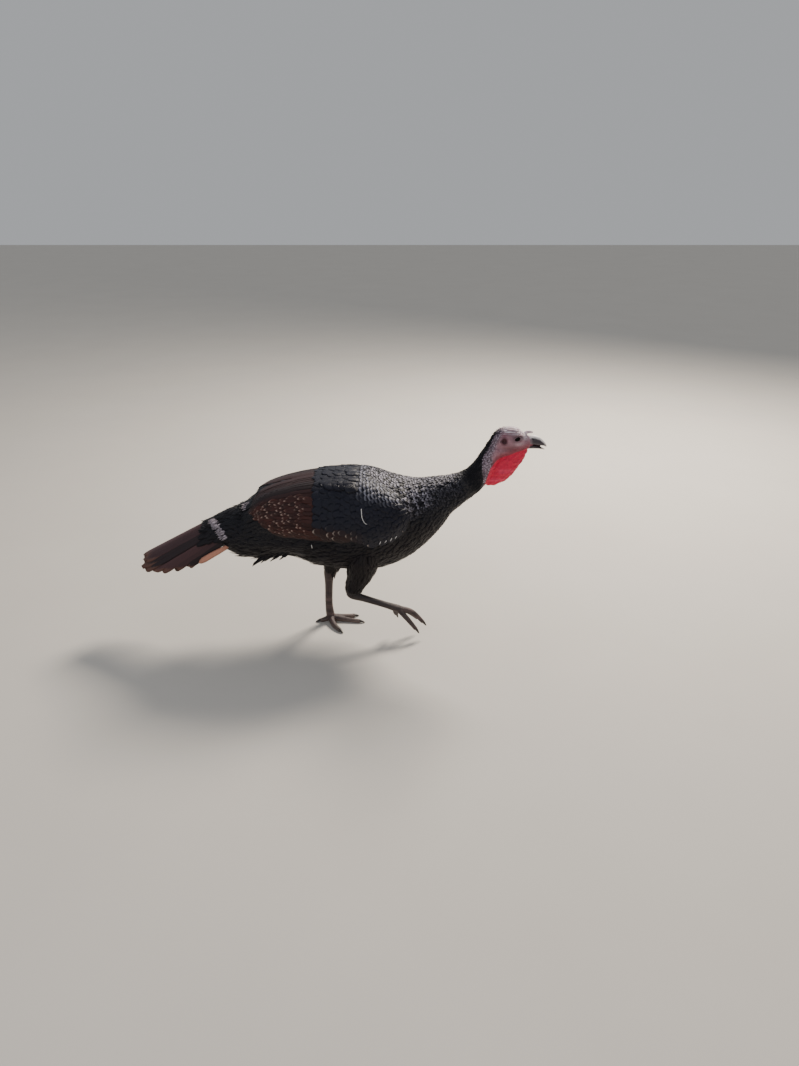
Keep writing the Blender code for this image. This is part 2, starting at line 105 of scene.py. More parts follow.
def mesh_object(name, points, faces, material):
    """An object at the origin from an array of points and one or more arrays of faces, shaded smooth. Where
    the sum of a . (b x c) over its triangles, six times its volume, is negative, all faces are turned
    outwards."""
    mesh = bpy.data.meshes.new(name)
    points = np.asarray(points, float).reshape(-1, 3)
    faces = [np.asarray(part) for part in (faces if isinstance(faces, list) else [faces])]
    volume = sum(np.vdot(points[part[:, 0]], np.cross(points[part[:, k]], points[part[:, k + 1]]))
                 for part in faces for k in range(1, part.shape[1] - 1))
    if volume < 0:
        faces = [part[:, ::-1] for part in faces]
    sizes = np.concatenate([np.full(len(part), part.shape[1]) for part in faces])
    corners = np.concatenate([part.ravel() for part in faces]).astype(np.int32)
    mesh.vertices.add(len(points))
    mesh.vertices.foreach_set("co", points.astype(np.float32).ravel())
    mesh.loops.add(len(corners))
    mesh.loops.foreach_set("vertex_index", corners)
    mesh.polygons.add(len(sizes))
    mesh.polygons.foreach_set("loop_start", np.concatenate([[0], np.cumsum(sizes)[:-1]]).astype(np.int32))
    mesh.update(calc_edges=True)
    mesh.validate()
    mesh.shade_smooth()
    mesh.materials.append(material)
    obj = bpy.data.objects.new(name, mesh)
    bpy.context.scene.collection.objects.link(obj)
    return obj


tree, shader, concrete = new_material("pale_cement_floor", Roughness=0.85)  # dull, with faint cloudy patches
where = add_node(tree, "TexCoord").outputs["Object"]
mottle = add_node(tree, "TexNoise", Vector=where, Scale=3.0, Detail=6.0, Roughness=0.6).outputs["Fac"]
shade = add_node(tree, "MapRange", Value=mottle, in_1=0.3, in_2=0.7, in_3=0.0, in_4=0.10).outputs["Result"]
tone = add_node(tree, "Mix", {"data_type": "RGBA"}, Factor=shade, in_6=linear(FLOOR_COLOUR),
                in_7=linear(FLOOR_MOTTLE))
tree.links.new(tone.outputs[2], shader.inputs["Base Color"])
corners = FLOOR_HALF_SIZE * np.array([(-1, -1, 0), (1, -1, 0), (1, 1, 0), (-1, 1, 0)])
floor = mesh_object("floor", corners, [[(0, 1, 2, 3)]], concrete)

for name, (place, aim, width, watts, colour) in LAMPS.items():
    lamp_data = bpy.data.lights.new(name, "AREA")
    lamp_data.size = width
    lamp_data.energy = watts
    lamp_data.color = linear(colour)[:3]
    lamp = bpy.data.objects.new(name, lamp_data)
    lamp.location = place
    way = mathutils.Vector(aim) - mathutils.Vector(place)
    lamp.rotation_euler = way.to_track_quat("-Z", "Y").to_euler()
    bpy.context.scene.collection.objects.link(lamp)

room = bpy.data.worlds.new("room")
room.use_nodes = True
room.node_tree.nodes["Background"].inputs["Color"].default_value = linear(ROOM_COLOUR)
room.node_tree.nodes["Background"].inputs["Strength"].default_value = ROOM_STRENGTH
bpy.context.scene.world = room


# ------------------------------------------------------------------------------------------------------------
# The body under the coat. A line runs through the middle of the bird from the tail coverts to the nape, and
# rays square to it measure how far the solid body and the folded wings reach. Everything that grows on the
# body is placed by its run along this line, in metres, and its turn round it from the back down the bird's
# right side.
MIDLINE_Y = -0.027
BODY_LINE = [  # x and z of the middle of the body
    (-0.262, 0.250), (-0.185, 0.248), (-0.140, 0.258), (-0.090, 0.268), (-0.020, 0.273), (0.045, 0.271),
    (0.105, 0.274), (0.158, 0.285), (0.208, 0.304), (0.248, 0.326), (0.286, 0.344), (0.319, 0.363),
    (0.341, 0.389), (0.356, 0.417), (0.372, 0.445),
]
BODY_NODES = ("tail_coverts", "trunk", "neck_lower", "neck_upper")
WING_NODES = ("wing_coverts_left", "wing_quills_left", "wing_coverts_right", "wing_quills_right")
TURNS = 120  # rays round each section
RAYS_AT_ONCE = 256
BRIDGE_PAST_DEG, BRIDGE_RISE = 4, 0.35  # how far past the wings' edges the bridge starts, and how full it is


def smooth_line(points, step):
    """Points at equal steps along the Catmull-Rom curve through a few points, which runs through each of them
    with the direction of the chord between its neighbours."""
    points = np.asarray(points, float)
    padded = np.concatenate([2 * points[:1] - points[1:2], points, 2 * points[-1:] - points[-2:-1]])
    t = np.linspace(0, 1, 40, endpoint=False)[:, None, None]
    a, b, c, d = (padded[i : len(padded) - 3 + i] for i in range(4))
    curve = b + 0.5 * t * (c - a + t * (2 * a - 5 * b + 4 * c - d + t * (3 * (b - c) + d - a)))
    curve = np.concatenate([curve.transpose(1, 0, 2).reshape(-1, points.shape[1]), points[-1:]])
    run = np.concatenate([[0], np.cumsum(np.linalg.norm(np.diff(curve, axis=0), axis=1))])
    even = np.linspace(0, run[-1], int(run[-1] / step) + 1)
    return np.stack([np.interp(even, run, column) for column in curve.T], 1), run[-1]


def mesh_values(items, key, width=1, kind=np.float32):
    """One property of all items of a mesh as an array, in rows of the given width."""
    values = np.empty(len(items) * width, kind)
    items.foreach_get(key, values)
    return values.reshape(-1, width) if width > 1 else values


def node_triangles(nodes):
    """Corners of all triangles of some nodes of the frame, as an array of triangles by corner by x, y, z."""
    found = []
    for node in nodes:
        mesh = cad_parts[node].data
        mesh.calc_loop_triangles()
        corners = mesh_values(mesh.loop_triangles, "vertices", 3, np.int32)
        found.append(mesh_values(mesh.vertices, "co", 3)[corners])
    return np.concatenate(found).astype(float)


def farthest_hit(nodes, starts, ways):
    """How far along each ray the last face of the nodes lies, or 0. A ray meets a triangle where the weights
    of all three corners, found by cross products with its edges, are positive."""
    corners = node_triangles(nodes)
    a, ab, ac = corners[:, 0], corners[:, 1] - corners[:, 0], corners[:, 2] - corners[:, 0]
    reach = np.zeros(len(starts))
    for first in range(0, len(starts), RAYS_AT_ONCE):
        some = slice(first, first + RAYS_AT_ONCE)
        here, way = starts[some, None], ways[some, None]
        side = np.cross(way, ac[None])
        size = (side * ab).sum(-1)
        size = np.where(np.abs(size) < 1e-14, 1e-14, size)
        gap = here - a
        u = (gap * side).sum(-1) / size
        turned = np.cross(gap, ab[None])
        v = (way * turned).sum(-1) / size
        run = (ac * turned).sum(-1) / size
        met = (u > -1e-6) & (v > -1e-6) & (u + v < 1 + 1e-6) & (run > 0)
        reach[some] = np.where(met, run, 0).max(1)
    return reach


class Hide:
    """A skin wrapped round a line: its sections' middles, the two directions that span them, and the reach of
    the solid from the middle for each section and turn."""

    def __init__(self, line, nodes, step=0.004, smoothing=2):
        self.middle, self.length = smooth_line(line, step)
        self.step = self.length / (len(self.middle) - 1)
        along = np.gradient(self.middle, axis=0)
        along /= np.linalg.norm(along, axis=1)[:, None]
        right = np.array([0.0, -1.0, 0.0]) + along * along[:, 1:2]
        self.right = right / np.linalg.norm(right, axis=1)[:, None]
        self.up = np.cross(self.right, along)
        self.reach = self.measure(nodes, smoothing)

    def measure(self, nodes, smoothing=2):
        """Table of reach by section and turn, rounded by running means of 1, 2, 1 that take the facets
        off."""
        turn = (np.arange(TURNS) * 2 * math.pi / TURNS)[None, :, None]
        ways = np.cos(turn) * self.up[:, None] + np.sin(turn) * self.right[:, None]
        starts = np.broadcast_to(self.middle[:, None], ways.shape)
        hits = farthest_hit(nodes, starts.reshape(-1, 3), ways.reshape(-1, 3))
        table = hits.reshape(len(self.middle), TURNS)
        for _ in range(smoothing):
            padded = np.concatenate([table[:1], table, table[-1:]])
            table = (padded[:-2] + 2 * table + padded[2:]) / 4
            table = (np.roll(table, 1, 1) + 2 * table + np.roll(table, -1, 1)) / 4
        return table

    def read(self, table, s, turn):
        """The table's value at a run and a turn, straight between its entries."""
        i = np.clip(s / self.step, 0, len(self.middle) - 1.001)
        j = (turn / (2 * math.pi) * TURNS) % TURNS
        low, left = i.astype(int), j.astype(int) % TURNS
        di, dj, right = i - low, j - np.floor(j), (left + 1) % TURNS
        first = table[low, left] * (1 - dj) + table[low, right] * dj
        second = table[low + 1, left] * (1 - dj) + table[low + 1, right] * dj
        return first * (1 - di) + second * di

    def place(self, s, turn, lift=0.0, table=None):
        """Points at a run, a turn and a height over the solid: the section's middle, plus the reach and the
        height along up x cos(turn) + right x sin(turn). Past either end the middle runs straight on."""
        s, turn = np.broadcast_arrays(np.asarray(s, float), np.asarray(turn, float))
        out = self.read(self.reach if table is None else table, s, turn) + lift
        i = np.clip(s / self.step, 0, len(self.middle) - 1)
        columns = [np.arange(len(self.middle)), *self.middle.T, *self.up.T, *self.right.T]
        read = [np.interp(i, columns[0], column) for column in columns[1:]]
        middle, up, right = (np.stack(read[k : k + 3], -1) for k in (0, 3, 6))
        beyond = (s - np.clip(s, 0, self.length))[..., None]
        outwards = np.cos(turn)[..., None] * up + np.sin(turn)[..., None] * right
        return middle + beyond * np.cross(up, right) + out[..., None] * outwards


body = Hide([(x, MIDLINE_Y, z) for x, z in BODY_LINE], BODY_NODES)
over_wings = body.measure(BODY_NODES + WING_NODES, 5)
wing_only = body.measure(WING_NODES, 0)
turns = (np.arange(TURNS) * 360 / TURNS + 180) % 360 - 180
for section, reach in enumerate(over_wings):  # the folded wings meet over the back, so their coat bridges it
    tops = np.abs(turns[(wing_only[section] > 0) & (np.abs(turns) < 90)])
    if len(tops):
        edge = tops.min() + BRIDGE_PAST_DEG
        between = np.abs(turns) < edge
        rim = reach[between].max()
        crest = reach[0] + BRIDGE_RISE * (rim - reach[0])
        reach[between] = np.maximum(reach[between], rim + (crest - rim) * (1 - (turns[between] / edge) ** 2))


body_runs = np.arange(len(body.middle)) * body.step


def run_at(x):
    """Run along the body line at a place x."""
    return np.interp(x, body.middle[:, 0], body_runs)


# ------------------------------------------------------------------------------------------------------------
# The skin. One hide from bill to toes: a plain shell under the coat, warty bare skin on head and upper neck,
# the red dewlap, the snood and the scaly shanks and feet. The bare parts are lofted, fused by remeshing and
# then worked over with folds, warts and scutes.
COAT_DEPTH = 0.009
BARE_FROM = 0.300  # place along the neck where the bare skin's own loft starts, well under the feathers
HEAD_ROWS = [  # x, z, half width, rise above and depth below that height
    (0.3555, 0.4520, 0.0040, 0.0040, 0.0040), (0.3620, 0.4550, 0.0130, 0.0125, 0.0135),
    (0.3740, 0.4565, 0.0190, 0.0230, 0.0220), (0.3900, 0.4575, 0.0220, 0.0258, 0.0255),
    (0.4070, 0.4570, 0.0216, 0.0255, 0.0250), (0.4200, 0.4540, 0.0184, 0.0205, 0.0220),
    (0.4320, 0.4515, 0.0140, 0.0150, 0.0175), (0.4385, 0.4500, 0.0106, 0.0128, 0.0135),
    (0.4440, 0.4495, 0.0072, 0.0092, 0.0100), (0.4475, 0.4490, 0.0030, 0.0040, 0.0040),
]
DEWLAP_ROWS = [  # x, z, half width, half depth
    (0.4320, 0.4370, 0.0050, 0.0060), (0.4190, 0.4270, 0.0085, 0.0160), (0.3980, 0.4090, 0.0105, 0.0250),
    (0.3750, 0.3850, 0.0110, 0.0262), (0.3565, 0.3665, 0.0095, 0.0182), (0.3470, 0.3570, 0.0050, 0.0060),
]
ROUND_PARTS = {  # spacing of the sections, points round one, and rows of x, z and radius
    "throat": (0.0020, 40, [(0.366, 0.430, 0.0150), (0.382, 0.434, 0.0160), (0.400, 0.437, 0.0150),
                            (0.418, 0.440, 0.0115)]),
    "nape": (0.0020, 40, [(0.351, 0.420, 0.0155), (0.3632, 0.4392, 0.0160), (0.3755, 0.4555, 0.0160)]),
    "snood": (0.0006, 20, [(0.4225, 0.4640, 0.0044), (0.4290, 0.4702, 0.0035), (0.4350, 0.4722, 0.0031),
                           (0.4410, 0.4718, 0.0027), (0.4440, 0.4708, 0.0017)]),
}
EYE_AT, EYE_OUT, EYE_RADIUS = (0.4094, 0.4616), 0.0157, 0.0066  # x and z, distance from the midline, radius
EAR_AT = (0.3820, 0.4572)
LEGS = {  # shank and toes: points of x, y, z and radius, from the hock to the foot and from the pad outwards
    "left": {
        "shank": [(-0.002, 0.0, 0.141, 0.0060), (-0.002, 0.0, 0.133, 0.0108), (-0.002, 0.0, 0.121, 0.0112),
                  (-0.003, 0.0, 0.095, 0.0090), (-0.0045, 0.0, 0.045, 0.0086), (-0.002, 0.0, 0.014, 0.0098),
                  (0.001, 0.0, 0.0095, 0.0092)],
        "inner": [(0.000, -0.001, 0.0098, 0.0068), (0.0025, -0.0170, 0.0075, 0.0066),
                  (0.0115, -0.0370, 0.0048, 0.0058), (0.0245, -0.0550, 0.0038, 0.0046)],
        "middle": [(0.002, 0.0, 0.0098, 0.0068), (0.0207, -0.0037, 0.0070, 0.0065),
                   (0.0448, -0.0079, 0.0045, 0.0055), (0.0689, -0.0122, 0.0036, 0.0044)],
        "outer": [(0.002, 0.001, 0.0098, 0.0068), (0.0161, 0.0046, 0.0070, 0.0065),
                  (0.0350, 0.0100, 0.0045, 0.0055), (0.0538, 0.0154, 0.0036, 0.0044)],
        "hind": [(0.0, 0.0, 0.0098, 0.0068), (-0.0078, -0.0022, 0.0070, 0.0062),
                 (-0.0169, -0.0048, 0.0045, 0.0053), (-0.0260, -0.0074, 0.0036, 0.0043)],
    },
    "right": {
        "shank": [(0.0440, -0.080, 0.1235, 0.0056), (0.050, -0.080, 0.120, 0.0098),
                  (0.058, -0.080, 0.111, 0.0100), (0.082, -0.079, 0.1015, 0.0077),
                  (0.130, -0.077, 0.084, 0.0072), (0.157, -0.076, 0.074, 0.0086),
                  (0.1595, -0.076, 0.0722, 0.0088)],
        "outer": [(0.159, -0.077, 0.072, 0.0062), (0.177, -0.085, 0.055, 0.0055),
                  (0.199, -0.091, 0.0290, 0.0042)],
        "middle": [(0.160, -0.075, 0.074, 0.0062), (0.190, -0.074, 0.064, 0.0055),
                   (0.215, -0.074, 0.0380, 0.0042)],
        "inner": [(0.160, -0.073, 0.072, 0.0062), (0.183, -0.061, 0.057, 0.0055),
                  (0.203, -0.053, 0.0360, 0.0042)],
        "hind": [(0.156, -0.073, 0.072, 0.0062), (0.152, -0.067, 0.061, 0.0052),
                 (0.155, -0.063, 0.052, 0.0042)],
    },
}
FINE, FUSED = 0.00096, 0.0012  # voxel sizes of the head and of the feet
NECK_BAND = np.transpose([  # x, and degrees from the nape to which feathers reach down each side of the neck
    (0.310, 180), (0.325, 148), (0.335, 106), (0.343, 74), (0.352, 45), (0.360, 36), (0.372, 34)])


def loft_faces(sections, around):
    """Quads between closed sections, and fans to a middle point at each end, which follow the sections'
    points."""
    i, j = np.meshgrid(np.arange(sections - 1), np.arange(around), indexing="ij")
    k = (j + 1) % around
    quads = np.stack([i * around + j, i * around + k, (i + 1) * around + k,
                      (i + 1) * around + j], -1).reshape(-1, 4)
    j, k = np.arange(around), (np.arange(around) + 1) % around
    start, last = sections * around, (sections - 1) * around
    fans = np.concatenate([np.stack([np.full(around, start), k, j], 1),
                           np.stack([np.full(around, start + 1), last + j, last + k], 1)])
    return [quads, fans]


def loft(name, rings, material):
    """A closed loft through rings of equally many points."""
    rings = np.asarray(rings, float)
    points = np.concatenate([rings.reshape(-1, 3), rings[:1].mean(1), rings[-1:].mean(1)])
    return mesh_object(name, points, loft_faces(*rings.shape[:2]), material)


def midline_loft(name, rows, material, sections=60, around=64, square=False):
    """Ovals down the midline plane. A row is x, z, half width, rise and depth, or half width and half
    depth."""
    rows = np.asarray(rows, float)
    dense, _ = smooth_line(rows, np.linalg.norm(rows[0, :2] - rows[-1, :2]) / sections)
    along = np.gradient(dense[:, :2], axis=0)
    along = along / np.linalg.norm(along, axis=1)[:, None] if square else np.tile([1.0, 0.0], (len(dense), 1))
    angle = np.linspace(0, 2 * math.pi, around, endpoint=False)
    rise = np.where(np.cos(angle) > 0, dense[:, 3:4], dense[:, -1:]) * np.cos(angle)
    across = dense[:, 2:3] * np.sin(angle)
    return loft(name, np.stack([dense[:, :1] - rise * along[:, 1:], MIDLINE_Y - across,
                                dense[:, 1:2] + rise * along[:, :1]], -1), material)


def tube(name, rows, material, around=28, spacing=0.0015):
    """A round tube along a smooth path. A row is x, y, z and radius. Each point is the path's point plus the
    radius along up x cos(angle) + side x sin(angle), both square to the path."""
    dense, _ = smooth_line(rows, spacing)
    along = np.gradient(dense[:, :3], axis=0)
    along /= np.linalg.norm(along, axis=1)[:, None]
    side = np.cross(along, [0.0, 0.0, 1.0]) + [0.0, -1e-4, 0.0]
    side /= np.linalg.norm(side, axis=1)[:, None]
    up = np.cross(side, along)
    angle = np.linspace(0, 2 * math.pi, around, endpoint=False)
    ring = np.cos(angle)[None, :, None] * up[:, None] + np.sin(angle)[None, :, None] * side[:, None]
    return loft(name, dense[:, None, :3] + dense[:, 3, None, None] * ring, material)


def applied(obj):
    """The object with its modifiers worked into its mesh."""
    bpy.context.view_layer.update()
    mesh = bpy.data.meshes.new_from_object(obj.evaluated_get(bpy.context.evaluated_depsgraph_get()))
    obj.modifiers.clear()
    obj.data = mesh
    return obj


def joined(name, objects):
    """One object with the meshes of several, which are removed."""
    points, faces, material, first = [], {3: [], 4: []}, objects[0].data.materials[0], 0
    for obj in objects:
        corners = mesh_values(obj.data.loops, "vertex_index", kind=np.int32)
        sizes = mesh_values(obj.data.polygons, "loop_total", kind=np.int32)
        starts = np.concatenate([[0], np.cumsum(sizes)[:-1]])
        for size in (3, 4):
            chosen = starts[sizes == size]
            faces[size].append(corners[chosen[:, None] + np.arange(size)] + first)
        points.append(points_of(obj))
        first += len(points[-1])
        bpy.data.objects.remove(obj, do_unlink=True)
    faces = [np.concatenate(part) for part in faces.values() if sum(map(len, part))]
    return mesh_object(name, np.concatenate(points), faces, material)


def fused(name, objects, voxel, smoothing):
    """Overlapping closed pieces made one by a voxel remesh and relaxed so that their joins run into each
    other."""
    obj = joined(name, objects)
    remesh = obj.modifiers.new("fuse", "REMESH")
    remesh.mode = "VOXEL"
    remesh.voxel_size = voxel
    relax = obj.modifiers.new("relax", "SMOOTH")
    relax.factor = 0.5
    relax.iterations = smoothing
    return applied(obj)


def points_of(obj):
    """The vertices of an object."""
    return mesh_values(obj.data.vertices, "co", 3).astype(float)


def normals_of(obj):
    """The outward directions at the vertices of an object."""
    return mesh_values(obj.data.vertex_normals, "vector", 3).astype(float)


def move_points(obj, points):
    """Puts the vertices of an object in new places."""
    obj.data.vertices.foreach_set("co", np.asarray(points, np.float32).ravel())
    obj.data.update()


def scatter(cells):
    """Four numbers between 0 and 1 for each whole-numbered cell, always the same ones: its three numbers are
    mixed by products with large primes and divided, and the remainders are kept."""
    mixed = (cells * [73856093, 19349663, 83492791]).sum(-1).astype(np.uint64)
    return np.stack([((mixed * np.uint64(k) + np.uint64(7919)) % np.uint64(104729)) / 104729 for k in
                     (2654435761, 40503, 69069, 1103515245)], -1)


def warts(points, size):
    """Closeness to the middle of the nearest of many scattered beads: 1 on top of it and 0 in the gaps. Each
    cell of a cubic lattice holds one bead, off its middle by chance."""
    cell = np.floor(points / size)
    nearest = np.full(len(points), 9.0)
    for step in np.ndindex(3, 3, 3):
        there = cell + np.array(step) - 1
        centre = (there + 0.2 + 0.6 * scatter(there.astype(np.int64) + 5000)[:, :3]) * size
        nearest = np.minimum(nearest, np.linalg.norm(points - centre, axis=1) / size)
    return np.clip(1 - (nearest / 0.62) ** 2, 0, 1)


def waves(points, size, seed=0):
    """Soft random field between about -1 and 1: a lattice of chance values blended by smooth steps."""
    places = points / size + seed * 17.3
    cell = np.floor(places).astype(np.int64)
    f = places - cell
    f = f * f * (3 - 2 * f)
    total = np.zeros(len(points))
    for step in np.ndindex(2, 2, 2):
        weight = np.prod(np.where(np.array(step) == 1, f, 1 - f), axis=1)
        total += weight * (scatter(cell + np.array(step) + 5000)[:, 0] * 2 - 1)
    return total


def step_up(value, low, high):
    """0 below low, 1 above high, and a smooth rise between."""
    t = np.clip((value - low) / (high - low), 0, 1)
    return t * t * (3 - 2 * t)


def hump(value, middle, width):
    """Bell curve round a middle."""
    return np.exp(-(((value - middle) / width) ** 2))


def add_colours(obj, name, colours):
    """A colour for each vertex, kept under a name that the material reads."""
    layer = obj.data.attributes.new(name, "FLOAT_COLOR", "POINT")
    layer.data.foreach_set("color", np.asarray(colours, np.float32).ravel())


def painted(ground, *coats):
    """A colour for each vertex: the hex colour of the ground, mixed towards the colour of each coat in turn
    by its share at the vertex."""
    colours = np.tile(linear(ground), (len(coats[0][1]), 1))
    for colour, share in coats:
        colours = colours + (np.array(linear(colour)) - colours) * np.clip(share, 0, 1)[:, None]
    return colours


def distance_to_path(points, path):
    """Distance from each point to the nearest of a path's points, and which of them that is."""
    best, which = np.full(len(points), 9.0), np.zeros(len(points), int)
    for i, place in enumerate(path):
        gap = np.linalg.norm(points - place, axis=1)
        closer = gap < best
        best, which = np.where(closer, gap, best), np.where(closer, i, which)
    return best, which


# Thin moist skin: a soft gloss, some light through its folds, and fine pores and wrinkles.
tree, shader, hide_material = new_material(
    "bare_turkey_skin", Roughness=0.5, Subsurface_Weight=0.06, Subsurface_Radius=(0.004, 0.0015, 0.001),
    Subsurface_Scale=0.6)
tint = add_node(tree, "Attribute", {"attribute_name": "tint"}).outputs["Color"]
where = add_node(tree, "TexCoord").outputs["Object"]
pores = add_node(tree, "TexVoronoi", Vector=where, Scale=900.0).outputs["Distance"]
blotch = add_node(tree, "TexNoise", Vector=where, Scale=160.0, Detail=4.0).outputs["Fac"]
dimming = add_node(tree, "MapRange", Value=blotch, in_1=0.3, in_2=0.7, in_3=0.80, in_4=1.15).outputs["Result"]
tone = add_node(tree, "VectorMath", {"operation": "SCALE"}, in_0=tint, Scale=dimming)
tree.links.new(tone.outputs["Vector"], shader.inputs["Base Color"])
wrinkles = add_node(tree, "TexNoise", Vector=where, Scale=420.0, Detail=2.0, Distortion=1.2).outputs["Fac"]
relief = add_node(tree, "Math", {"operation": "ADD"}, in_0=pores, in_1=wrinkles).outputs["Value"]
raised = add_node(tree, "Bump", Height=relief, Strength=0.6, Distance=0.0008).outputs["Normal"]
tree.links.new(raised, shader.inputs["Normal"])

# The neck's own loft takes its sections from the measured body, so that skin and feathers agree.
full_turn = np.linspace(0, 2 * math.pi, 72, endpoint=False)[None, ::-1]
neck_runs = np.linspace(run_at(BARE_FROM), body.length, 70)[:, None]
head_pieces = [
    loft("neck_loft", body.place(neck_runs, full_turn), hide_material),
    midline_loft("head_loft", HEAD_ROWS, hide_material, 70, 72),
    midline_loft("dewlap_loft", DEWLAP_ROWS, hide_material, 60, 48, square=True),
    *(tube(f"{name}_loft", [(x, MIDLINE_Y, z, radius) for x, z, radius in rows], hide_material, around,
           spacing)
      for name, (spacing, around, rows) in ROUND_PARTS.items()),
]
head = fused("head_skin", head_pieces, FINE, 4)

# Folds and warts. Each is a height over the skin worked out from the place of the point on the head.
EYE_OPENING, EYE_ROUNDNESS = (0.0066, 0.0041), 1.75  # half length and half height of an almond, and its power
EAR_PIT, EAR_MARK = (0.0048, 0.0062), (0.0064, 0.0086)  # half widths and half heights
DEWLAP_EDGE = np.array([  # x and z of the line from throat to chin above which the skin is no longer red
    (0.343, 0.352), (0.349, 0.377), (0.356, 0.400), (0.368, 0.4145), (0.387, 0.4215), (0.403, 0.4275),
    (0.432, 0.4385), (0.440, 0.4390)])
EDGE_BEHIND = DEWLAP_EDGE[:6]  # its steep part, which bounds the red skin towards the nape
WART, FACE_BEAD, DEWLAP_BEAD = 0.0034, 0.0024, 0.0030  # sizes of the beads of skin


def eye_share(x, z):
    """Distance from the eye's middle as a share of the opening, an almond with its corners ahead and
    behind."""
    across = np.abs(x - EYE_AT[0]) / EYE_OPENING[0]
    up = np.abs(z - EYE_AT[1] - 0.12 * (x - EYE_AT[0])) / EYE_OPENING[1]
    return (across**EYE_ROUNDNESS + up**EYE_ROUNDNESS) ** (1 / EYE_ROUNDNESS)


def ear_share(x, z, half_width, half_height):
    """Distance from the ear's middle as a share of an oval's radius."""
    return np.sqrt(((x - EAR_AT[0]) / half_width) ** 2 + ((z - EAR_AT[1]) / half_height) ** 2)


def face_share(x, z):
    """1 on the face and crown and 0 on the neck, parted by two slanting lines."""
    return step_up(x - 0.4 * (z - 0.44), 0.358, 0.370) * step_up(x + 0.9 * (z - 0.42), 0.350, 0.362)


def past_dewlap_edge(x, z):
    """Metres by which a place lies below the dewlap's edge and ahead of it."""
    return np.interp(x, *DEWLAP_EDGE.T) - z, x - np.interp(z, EDGE_BEHIND[:, 1], EDGE_BEHIND[:, 0])


at = points_of(head)
x, z, out = at[:, 0], at[:, 2], np.abs(at[:, 1] - MIDLINE_Y)
lateral = step_up(out, 0.008, 0.014)
eye_gap, over_eye = eye_share(x, z), (z - EYE_AT[1]) / 0.0050
ear_gap = ear_share(x, z, *EAR_PIT)
below_edge, ahead_of_edge = past_dewlap_edge(x, z)
red = step_up(below_edge, -0.003, 0.003) * step_up(ahead_of_edge, -0.004, 0.003)
on_head = face_share(x, z) * (1 - red)
bare_neck = (1 - on_head) * (1 - red)

height = -0.0030 * step_up(1 - eye_gap, 0.0, 0.28) * lateral  # socket, with rims and a furrow round it
height += 0.0008 * hump(eye_gap, 1.15, 0.13) * lateral
height += 0.0004 * hump(eye_gap, 1.62, 0.13) * lateral * step_up(-over_eye, -0.6, 0.4)
height -= 0.0005 * hump(eye_gap, 1.40, 0.10) * lateral
brow = hump(z - (EYE_AT[1] + 0.0074 - 0.15 * (x - EYE_AT[0])), 0, 0.0018) * hump(x, 0.411, 0.013)
height += 0.0011 * brow * lateral
height -= 0.0018 * (1 - step_up(ear_gap, 0.45, 0.95)) * lateral  # ear, with its rim
height += 0.0007 * hump(ear_gap, 1.15, 0.22) * lateral
lore = hump(x, 0.4265, 0.0052) * hump(z, 0.4585, 0.0050)
height -= 0.0011 * lore * step_up(out, 0.006, 0.011)
gape_line = 0.4395 + 0.30 * (x - 0.4271) + 9.0 * (x - 0.4271) ** 2  # the mouth's corner, with a lip under it
height -= 0.0010 * hump(z, gape_line, 0.0009) * step_up(x, 0.416, 0.426) * step_up(out, 0.003, 0.008)
height += 0.0006 * hump(z, gape_line - 0.0024, 0.0012) * step_up(x, 0.414, 0.424) * step_up(out, 0.003, 0.008)
cheek = hump(x, 0.396, 0.011) * hump(z, 0.4435, 0.0070)
height += 0.0010 * cheek * lateral
for number, drop in enumerate((0.0090, 0.0122, 0.0155)):  # sagging folds below the eye
    bag = hump(z - (EYE_AT[1] - drop + 5.5 * (x - 0.404) ** 2), 0, 0.0007)
    height -= 0.00042 * bag * hump(x, 0.404, 0.012 - 0.002 * number) * lateral * (1 - red)
for number, angle in enumerate((-22, 4, 30, 56)):  # folds that run out behind the eye
    way = math.radians(180 - angle)
    reach = (x - EYE_AT[0]) * math.cos(way) + (z - EYE_AT[1]) * math.sin(way)
    beside = -(x - EYE_AT[0]) * math.sin(way) + (z - EYE_AT[1]) * math.cos(way)
    fold = hump(beside, 0.0006 * math.sin(3 * number), 0.00075)
    height -= 0.00042 * fold * hump(reach, 0.0125, 0.0042) * lateral
jaw = 0.4372 - 0.10 * (x - 0.410) + 2.6 * (x - 0.405) ** 2
height += 0.0007 * hump(z, jaw + 0.0042, 0.0016) * hump(x, 0.408, 0.016) * step_up(out, 0.006, 0.012)
height -= 0.0006 * hump(z, jaw + 0.0014, 0.0009) * hump(x, 0.408, 0.014) * step_up(out, 0.006, 0.012)
crown = step_up(z, 0.4700, 0.4760) * on_head
wrinkle = waves(np.stack([x * 0.9 + 0.25 * waves(at, 0.012, 3) * 0.004, out * 1.6, z * 0.9], 1), 0.0027, 1)
height += 0.00075 * crown * wrinkle
fine_waves = waves(at * [1.0, 1.0, 1.7], 0.0030, 2)
height += 0.00050 * on_head * (1 - crown) * fine_waves * step_up(eye_gap, 1.2, 2.2)
height += 0.00105 * bare_neck * (warts(at, WART) - 0.35)
height += 0.00055 * on_head * (1 - crown) * (warts(at, FACE_BEAD) - 0.4) * step_up(eye_gap, 1.3, 2.2)
down_neck, off_neck = 0.72 * x + 0.69 * z, 0.69 * x - 0.72 * z
folds = waves(np.stack([0.30 * down_neck, 0.5 * out, off_neck], 1), 0.0042, 4)  # long folds down the dewlap
height += red * (0.0011 * folds + 0.0008 * waves(at, 0.0060, 5) + 0.0005 * (warts(at, DEWLAP_BEAD) - 0.4))
height *= 1 - step_up(x, 0.4325, 0.4365)  # smooth where the bill grows out
move_points(head, at + normals_of(head) * height[:, None])
head_points, head_normals = points_of(head), normals_of(head)

